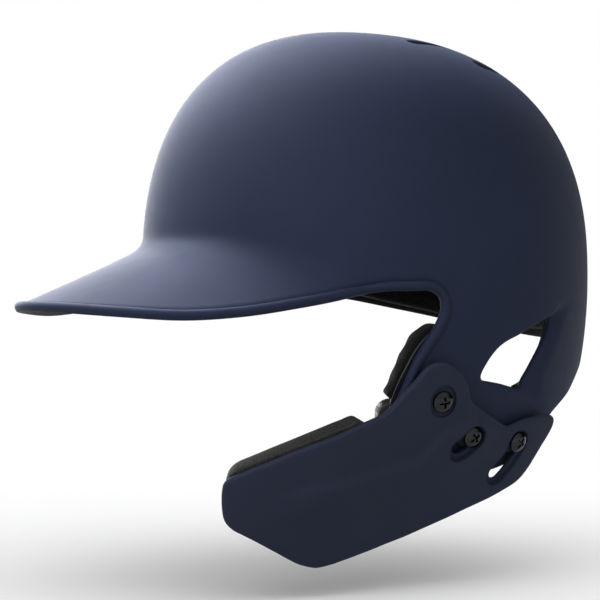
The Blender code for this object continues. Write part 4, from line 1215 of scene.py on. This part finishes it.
def cushion(name, outline, back, wall):
    """A cloth-covered pad: flat back, a thin sewn hem and a crowned face toward the head."""
    rows = [0.0, 0.25, 0.7, 1.3, 1.9, HEM]
    reach = reach_from(wall_form, outline)

    def inner(distance, number, sheet):
        rise = np.clip((reach(sheet) - HEM) / CROWN_RUN, 0.0, 1.0)
        puff = np.sqrt(np.maximum(1.0 - (1.0 - rise) ** 2, 0.0)) * (1.0 - 0.12 * (1.0 - rise))
        hem = HEM_WALL - rounded(distance, 0.5)
        return back - hem - (wall - HEM_WALL) * puff

    return curved_wall(name, wall_form, [(outline, rows, 2.0)], plain_outside(back, 0.4), inner,
                       2.6)


CLOTH_STIFFNESS = {"tension_stiffness": 8, "compression_stiffness": 8, "bending_stiffness": 0.3}
CLOTH_FRAMES = 20


def swell(pad, held, pressure, cap):
    """Lets a pad's cloth swell under a little pressure where it isn't held, by cap at most."""
    rest = np.array([v.co[:] for v in pad.data.vertices])
    hold = pad.vertex_groups.new(name="hold")
    for i, weight in enumerate(held):
        hold.add([i], float(weight), "REPLACE")
    modifier = pad.modifiers.new("cloth", "CLOTH")
    modifier.settings.vertex_group_mass = "hold"
    modifier.settings.use_pressure = True
    modifier.settings.uniform_pressure_force = pressure
    for key, value in CLOTH_STIFFNESS.items():
        setattr(modifier.settings, key, value)
    modifier.settings.effector_weights.gravity = 0.0
    scene = bpy.context.scene
    for number in range(1, CLOTH_FRAMES + 1):
        scene.frame_set(number)
    shown = pad.evaluated_get(bpy.context.evaluated_depsgraph_get())
    moved = np.array([v.co[:] for v in shown.data.vertices])
    pad.modifiers.remove(modifier)
    pad.vertex_groups.remove(hold)
    scene.frame_set(1)
    shift = moved - rest
    length = np.linalg.norm(shift, axis=1, keepdims=True)
    shift *= np.minimum(1.0, cap * MM / np.maximum(length, 1e-9))
    pad.data.vertices.foreach_set("co", (rest + shift).ravel())


THREAD_RINGS = ((0.08, 0.1), (0.2, 0.26), (0.4, 0.32), (0.6, 0.26), (0.72, 0.1))
THREAD_SIDES = 6


def stitches(name, outline, offset, distance):
    """A row of short threads sewn along the hem."""
    loop = resample(wall_form, outline, STITCH_STEP)
    if signed_area(loop) > 0:
        loop = loop[::-1]
    point, normal, _, _ = frame_at(wall_form, inset(wall_form, loop, distance))
    point = point + normal * offset
    vertices, faces = [], []
    for start, way, up in zip(point, np.roll(point, -1, 0) - point, normal):
        length = np.linalg.norm(way)
        way = way / length
        side = np.cross(up, way)
        base = len(vertices)
        for share, girth in THREAD_RINGS:
            for turn in turns(THREAD_SIDES):
                vertices.append(start + way * length * share
                                + girth * (side * cos(turn) + up * 0.8 * sin(turn)))
        rings = np.arange(base, len(vertices)).reshape(-1, THREAD_SIDES).tolist()
        for low, high in zip(rings, rings[1:]):
            for k in range(THREAD_SIDES):
                following = (k + 1) % THREAD_SIDES
                faces.append((low[k], low[following], high[following], high[k]))
        faces += [tuple(rings[0][::-1]), tuple(rings[-1])]
    return make_object(name, vertices, faces, 80)


def add_cloth_pad(node, outline, back, wall, materials):
    """One comfort pad with its stitches."""
    pad = cushion(f"{node}_cover", outline, back, wall)
    count = len(pad.data.vertices) // 2
    held = np.ones(2 * count)
    points = np.array([v.co[:] for v in pad.data.vertices]) / MM
    depth = np.linalg.norm(points[count:] - points[:count], axis=1)
    held[count:] = 1.0 - smoothstep(HEM_WALL + 0.5, wall * 0.8, depth)
    swell(pad, held, 3.0, 1.6)
    finish(pad, "root", materials["cloth"], [node])
    thread = stitches(f"{node}_stitches", outline, back - HEM_WALL - 0.05, 1.5)
    finish(thread, "root", materials["thread"], [])


# name, azimuth, height, half angle and half height of the comfort pads on the wall
WALL_PADS = [("brow", 0.0, 24.0, 38.0, 15.0), ("left_temple", 70.0, 26.0, 19.0, 15.0),
             ("right_temple", -70.0, 26.0, 19.0, 15.0), ("nape", 180.0, -4.0, 26.0, 17.0)]


def add_comfort_pads(materials):
    """Four pads round the head and one under the crown, each on its hook-and-loop patch."""
    outlines = [(name, rounded_patch(azimuth, z, half_angle, half_height),
                 rounded_patch(azimuth, z, half_angle * 0.6, half_height * 0.5))
                for name, azimuth, z, half_angle, half_height in WALL_PADS]
    outlines.append(("crown", crown_patch(38.0), crown_patch(18.0)))
    for name, pad_outline, patch_outline in outlines:
        add_cloth_pad(f"{name}_pad", smooth_curve(pad_outline, 4), PAD_TOP, PAD_WALL, materials)
        loop = (smooth_curve(patch_outline, 3), [0.0, 0.5], 2.0)
        patch = curved_wall(f"{name}_hooks", wall_form, [loop], plain_outside(PATCH_TOP, 0.3),
                            plain_inside(PATCH_TOP - PATCH_WALL, 0.3), 4.0)
        finish(patch, "root", materials["hooks"], [f"{name}_hook_patch"])


EAR_PAD_TOP = LINER_TOP - 1.1


def add_ear_pads(materials):
    """Cheek pad at the flap's front edge, its glossy backing strip and the smooth pad below it."""
    strip = smooth_curve(on_wall([
        (-23.5, -24), (-29, -25.5), (-34.5, -30.5), (-38.4, -36), (-42.4, -44.5), (-45.2, -52),
        (-47.2, -62), (-47.2, -73), (-41, -77), (-36.5, -70), (-36, -60), (-33.5, -50), (-30, -41),
        (-26, -33)]), 4)
    backing = curved_wall("cheek_backing", wall_form, [(strip, [0.0, 0.1, 0.35, 0.7], 1.2)],
                          plain_outside(LINER_TOP + 0.4, 0.4),
                          plain_inside(LINER_TOP - 0.6, 0.4), 3.0)
    finish(backing, "root", materials["gloss"], ["ear_pad_backing"])
    cheek = smooth_curve(on_wall(
        [
            (-22.5, -24), (-28, -23.5), (-35.5, -28), (-40.5, -36.5), (-43.8, -44.6), (-46, -52),
            (-48, -57.8), (-44, -60.2), (-37, -59), (-34, -50), (-29, -40), (-24.5, -31)]), 4)
    pad = soft_block("cheek_pad", cheek, EAR_PAD_TOP, LINER_TOP - 13.2, 5.0, 1.5)
    count = len(pad.data.vertices) // 2
    held = np.concatenate([np.ones(count), np.full(count, 0.0)])
    swell(pad, held, 2.0, 0.8)
    finish(pad, "root", materials["cloth"], ["ear_front_pad"])
    lower = smooth_curve(on_wall(
        [
            (-48.5, -61.4), (-51.3, -66), (-50.5, -71.5), (-46.5, -77), (-40, -78.5), (-36.6, -73),
            (-36.6, -64.5), (-41, -61.6)]), 4)
    pad = soft_block("cheek_lower_pad", lower, EAR_PAD_TOP, LINER_TOP - 10.0, 3.0, 1.2)
    finish(pad, "root", materials["grey_foam"], ["ear_lower_pad"])


def add_guard_pad(material):
    """Die-cut foam strip glued inside the guard's upper front edge."""
    outline = on_guard([
        (-120.5, -104), (-121.8, -96), (-121.3, -92.2), (-119, -89), (-114, -86.2),
        (-107.7, -83.1), (-96.6, -78.2), (-84.6, -73.4), (-71.6, -68.8), (-66.5, -67.1),
        (-63.6, -67.9), (-62, -71.5), (-64, -81), (-72, -91), (-94, -102), (-113, -108)])
    top = GUARD_GAP - GUARD_PAD_GAP
    rows = rounded_rows(1.1, 3) + [2.0, 3.0]
    pad = curved_wall("guard_foam_pad", guard_form, [(smooth_curve(outline, 5), rows, 1.1)],
                      plain_outside(top, 0.8), plain_inside(top - GUARD_PAD_WALL, 1.1), 1.3)
    finish(pad, "guard", material, ["guard_pad"])


# ---- stage ----
CAMERA_TURN = radians(55)   # round from straight ahead, toward the wearer's left
CAMERA_DISTANCE = 1.05
CAMERA_LENS = 120.0
CAMERA_SHIFT = (-0.1128, -0.0367)
FLOOR_GAP = 0.001
LIGHT_DISTANCE = 1.4
LIGHT_SIZE = 1.1
# Soft boxes: the way to each one (toward the brim, up, toward the camera), the watts that light
# a surface, and the watts that show as gloss on it.
SOFT_BOXES = {
    "key": ((0.35, 0.8, -0.45), 92.0, 34.0),
    "upper_back": ((0.6, 0.6, -0.55), 22.0, 26.0),
    "top": ((0.4, 0.9, 0.0), 0.0, 6.0),
    "fill": ((0.6, 0.6, 0.55), 13.0, 6.0),
    "back_wall": ((0.4, 0.32, -0.86), 0.0, 34.0),
    "nape_edge": ((-0.6, 0.25, -0.8), 1.0, 6.0)}
ROOM_FRONT = 0.8            # brightness of the room on the side where the camera stands
ROOM_BELOW = 0.4            # and of what the floor sends back up
CEILING_LIGHT = 2.35
CEILING_ANGLE = radians(130)
FLOOR_HALF = 6.0


def toward_camera():
    return Vector((sin(CAMERA_TURN), -cos(CAMERA_TURN), 0.0))


def add_camera():
    data = bpy.data.cameras.new("camera")
    data.lens, data.sensor_width = CAMERA_LENS, 36.0
    data.shift_x, data.shift_y = CAMERA_SHIFT
    camera = new_object("camera", data)
    camera.location = toward_camera() * CAMERA_DISTANCE
    camera.rotation_euler = toward_camera().to_track_quat("Z", "Y").to_euler()
    bpy.context.scene.camera = camera


def add_soft_boxes(floor):
    """The helmet's own lights; they leave the floor alone, so it sends none of it back."""
    helmet_only = bpy.data.collections.new("floor_left_out")
    helmet_only.objects.link(floor)
    helmet_only.collection_objects[0].light_linking.link_state = "EXCLUDE"
    ahead = toward_camera()
    brimward = ahead.cross(Vector((0.0, 0.0, 1.0)))
    for name, ((aside, up, toward), wash, gloss) in SOFT_BOXES.items():
        way = (brimward * aside + Vector((0.0, 0.0, up)) + ahead * toward).normalized()
        for kind, power in (("wash", wash), ("gloss", gloss)):
            data = bpy.data.lights.new(f"{name}_{kind}", "AREA")
            data.size, data.energy = LIGHT_SIZE, power
            light = new_object(data.name, data)
            light.location = way * LIGHT_DISTANCE
            light.rotation_euler = way.to_track_quat("Z", "Y").to_euler()
            light.visible_diffuse, light.visible_glossy = kind == "wash", kind == "gloss"
            light.light_linking.receiver_collection = helmet_only


def add_floor_light(floor):
    """Light from the whole ceiling, for the floor and the helmet's soft shadow on it."""
    floor_only = bpy.data.collections.new("floor_alone")
    floor_only.objects.link(floor)
    data = bpy.data.lights.new("ceiling", "SUN")
    data.energy, data.angle = CEILING_LIGHT, CEILING_ANGLE
    light = new_object("ceiling", data)
    light.light_linking.receiver_collection = floor_only


def add_world():
    """A room that is bright on the camera's side, with a white wall behind the helmet."""
    world = bpy.data.worlds.new("studio")
    bpy.context.scene.world = world
    world.use_nodes = True
    room = Tree(world.node_tree)
    background = room.tree.nodes["Background"].inputs
    background["Color"].default_value = (1.0, 1.0, 1.0, 1.0)
    place = room.add("ShaderNodeTexCoord").outputs["Generated"]

    def along(direction, *limits):
        """A smooth step in brightness along a direction."""
        facing = room.add("ShaderNodeVectorMath", operation="DOT_PRODUCT")
        facing.inputs[1].default_value = direction
        room.link(place, facing.inputs[0])
        return room.spread(facing.outputs["Value"], *limits, interpolation_type="SMOOTHSTEP")

    bright = room.math("MULTIPLY", along(toward_camera(), 0.0, ROOM_FRONT, -0.2, 0.4),
                       along((0.0, 0.0, 1.0), ROOM_BELOW / ROOM_FRONT, 1.0, -0.05, 0.0))
    seen = room.add("ShaderNodeLightPath").outputs["Is Camera Ray"]
    room.link(room.math("MAXIMUM", bright, seen), background["Strength"])


def lowest_reach():
    """The height of the guard's chin at the end of its travel, lower than anything at rest."""
    guard = bpy.data.objects["jaw_guard"]
    pivot, turn = about_pivot(GUARD_TRAVEL)
    places = (guard.matrix_world @ point.co - pivot * MM for point in guard.data.vertices)
    return min((turn @ place).z for place in places) + pivot.z * MM


def add_floor():
    """A pale floor that every pose clears; it sends no light up to the helmet."""
    low = min(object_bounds()[0].z, lowest_reach()) - FLOOR_GAP
    mesh = bpy.data.meshes.new("floor")
    mesh.from_pydata([(-FLOOR_HALF, -FLOOR_HALF, low), (FLOOR_HALF, -FLOOR_HALF, low),
                      (FLOOR_HALF, FLOOR_HALF, low), (-FLOOR_HALF, FLOOR_HALF, low)],
                     [], [(0, 1, 2, 3)])
    floor = new_object("floor", mesh)
    mesh.materials.append(seamless_paper("floor_paper"))
    floor.visible_diffuse = False
    floor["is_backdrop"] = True
    return floor


def main():
    bpy.context.scene.view_settings.view_transform = "Standard"
    add_camera()
    add_world()
    add_shell(matte_paint("navy_paint", NAVY, 0.9), bare_plastic("bare_plastic"))
    add_guard(matte_paint("navy_guard", GUARD_NAVY, 0.7))
    nickel = plated("black_nickel", grey(0.03, 0.033), 0.1, 0.18, 0.5)
    zinc = plated("zinc_plate", grey(0.5, 0.48), 0.3, 0.5, 0.4)
    spacer = rubber("spacer_rubber")
    for name in SCREWS:
        add_screw(name, nickel)
        repaint(f"{name}_nut", zinc)
        repaint(f"{name}_spacer", spacer)
    add_impact_liner(bead_foam("liner_foam"))
    add_flap_liner(cut_foam("flap_foam", grey(0.02, 0.021), 0.7, 0.12))
    materials = pad_materials()
    add_comfort_pads(materials)
    add_ear_pads(materials)
    add_guard_pad(cut_foam("guard_foam", grey(0.029, 0.028), 0.8, 0.3))
    floor = add_floor()
    add_soft_boxes(floor)
    add_floor_light(floor)


main()
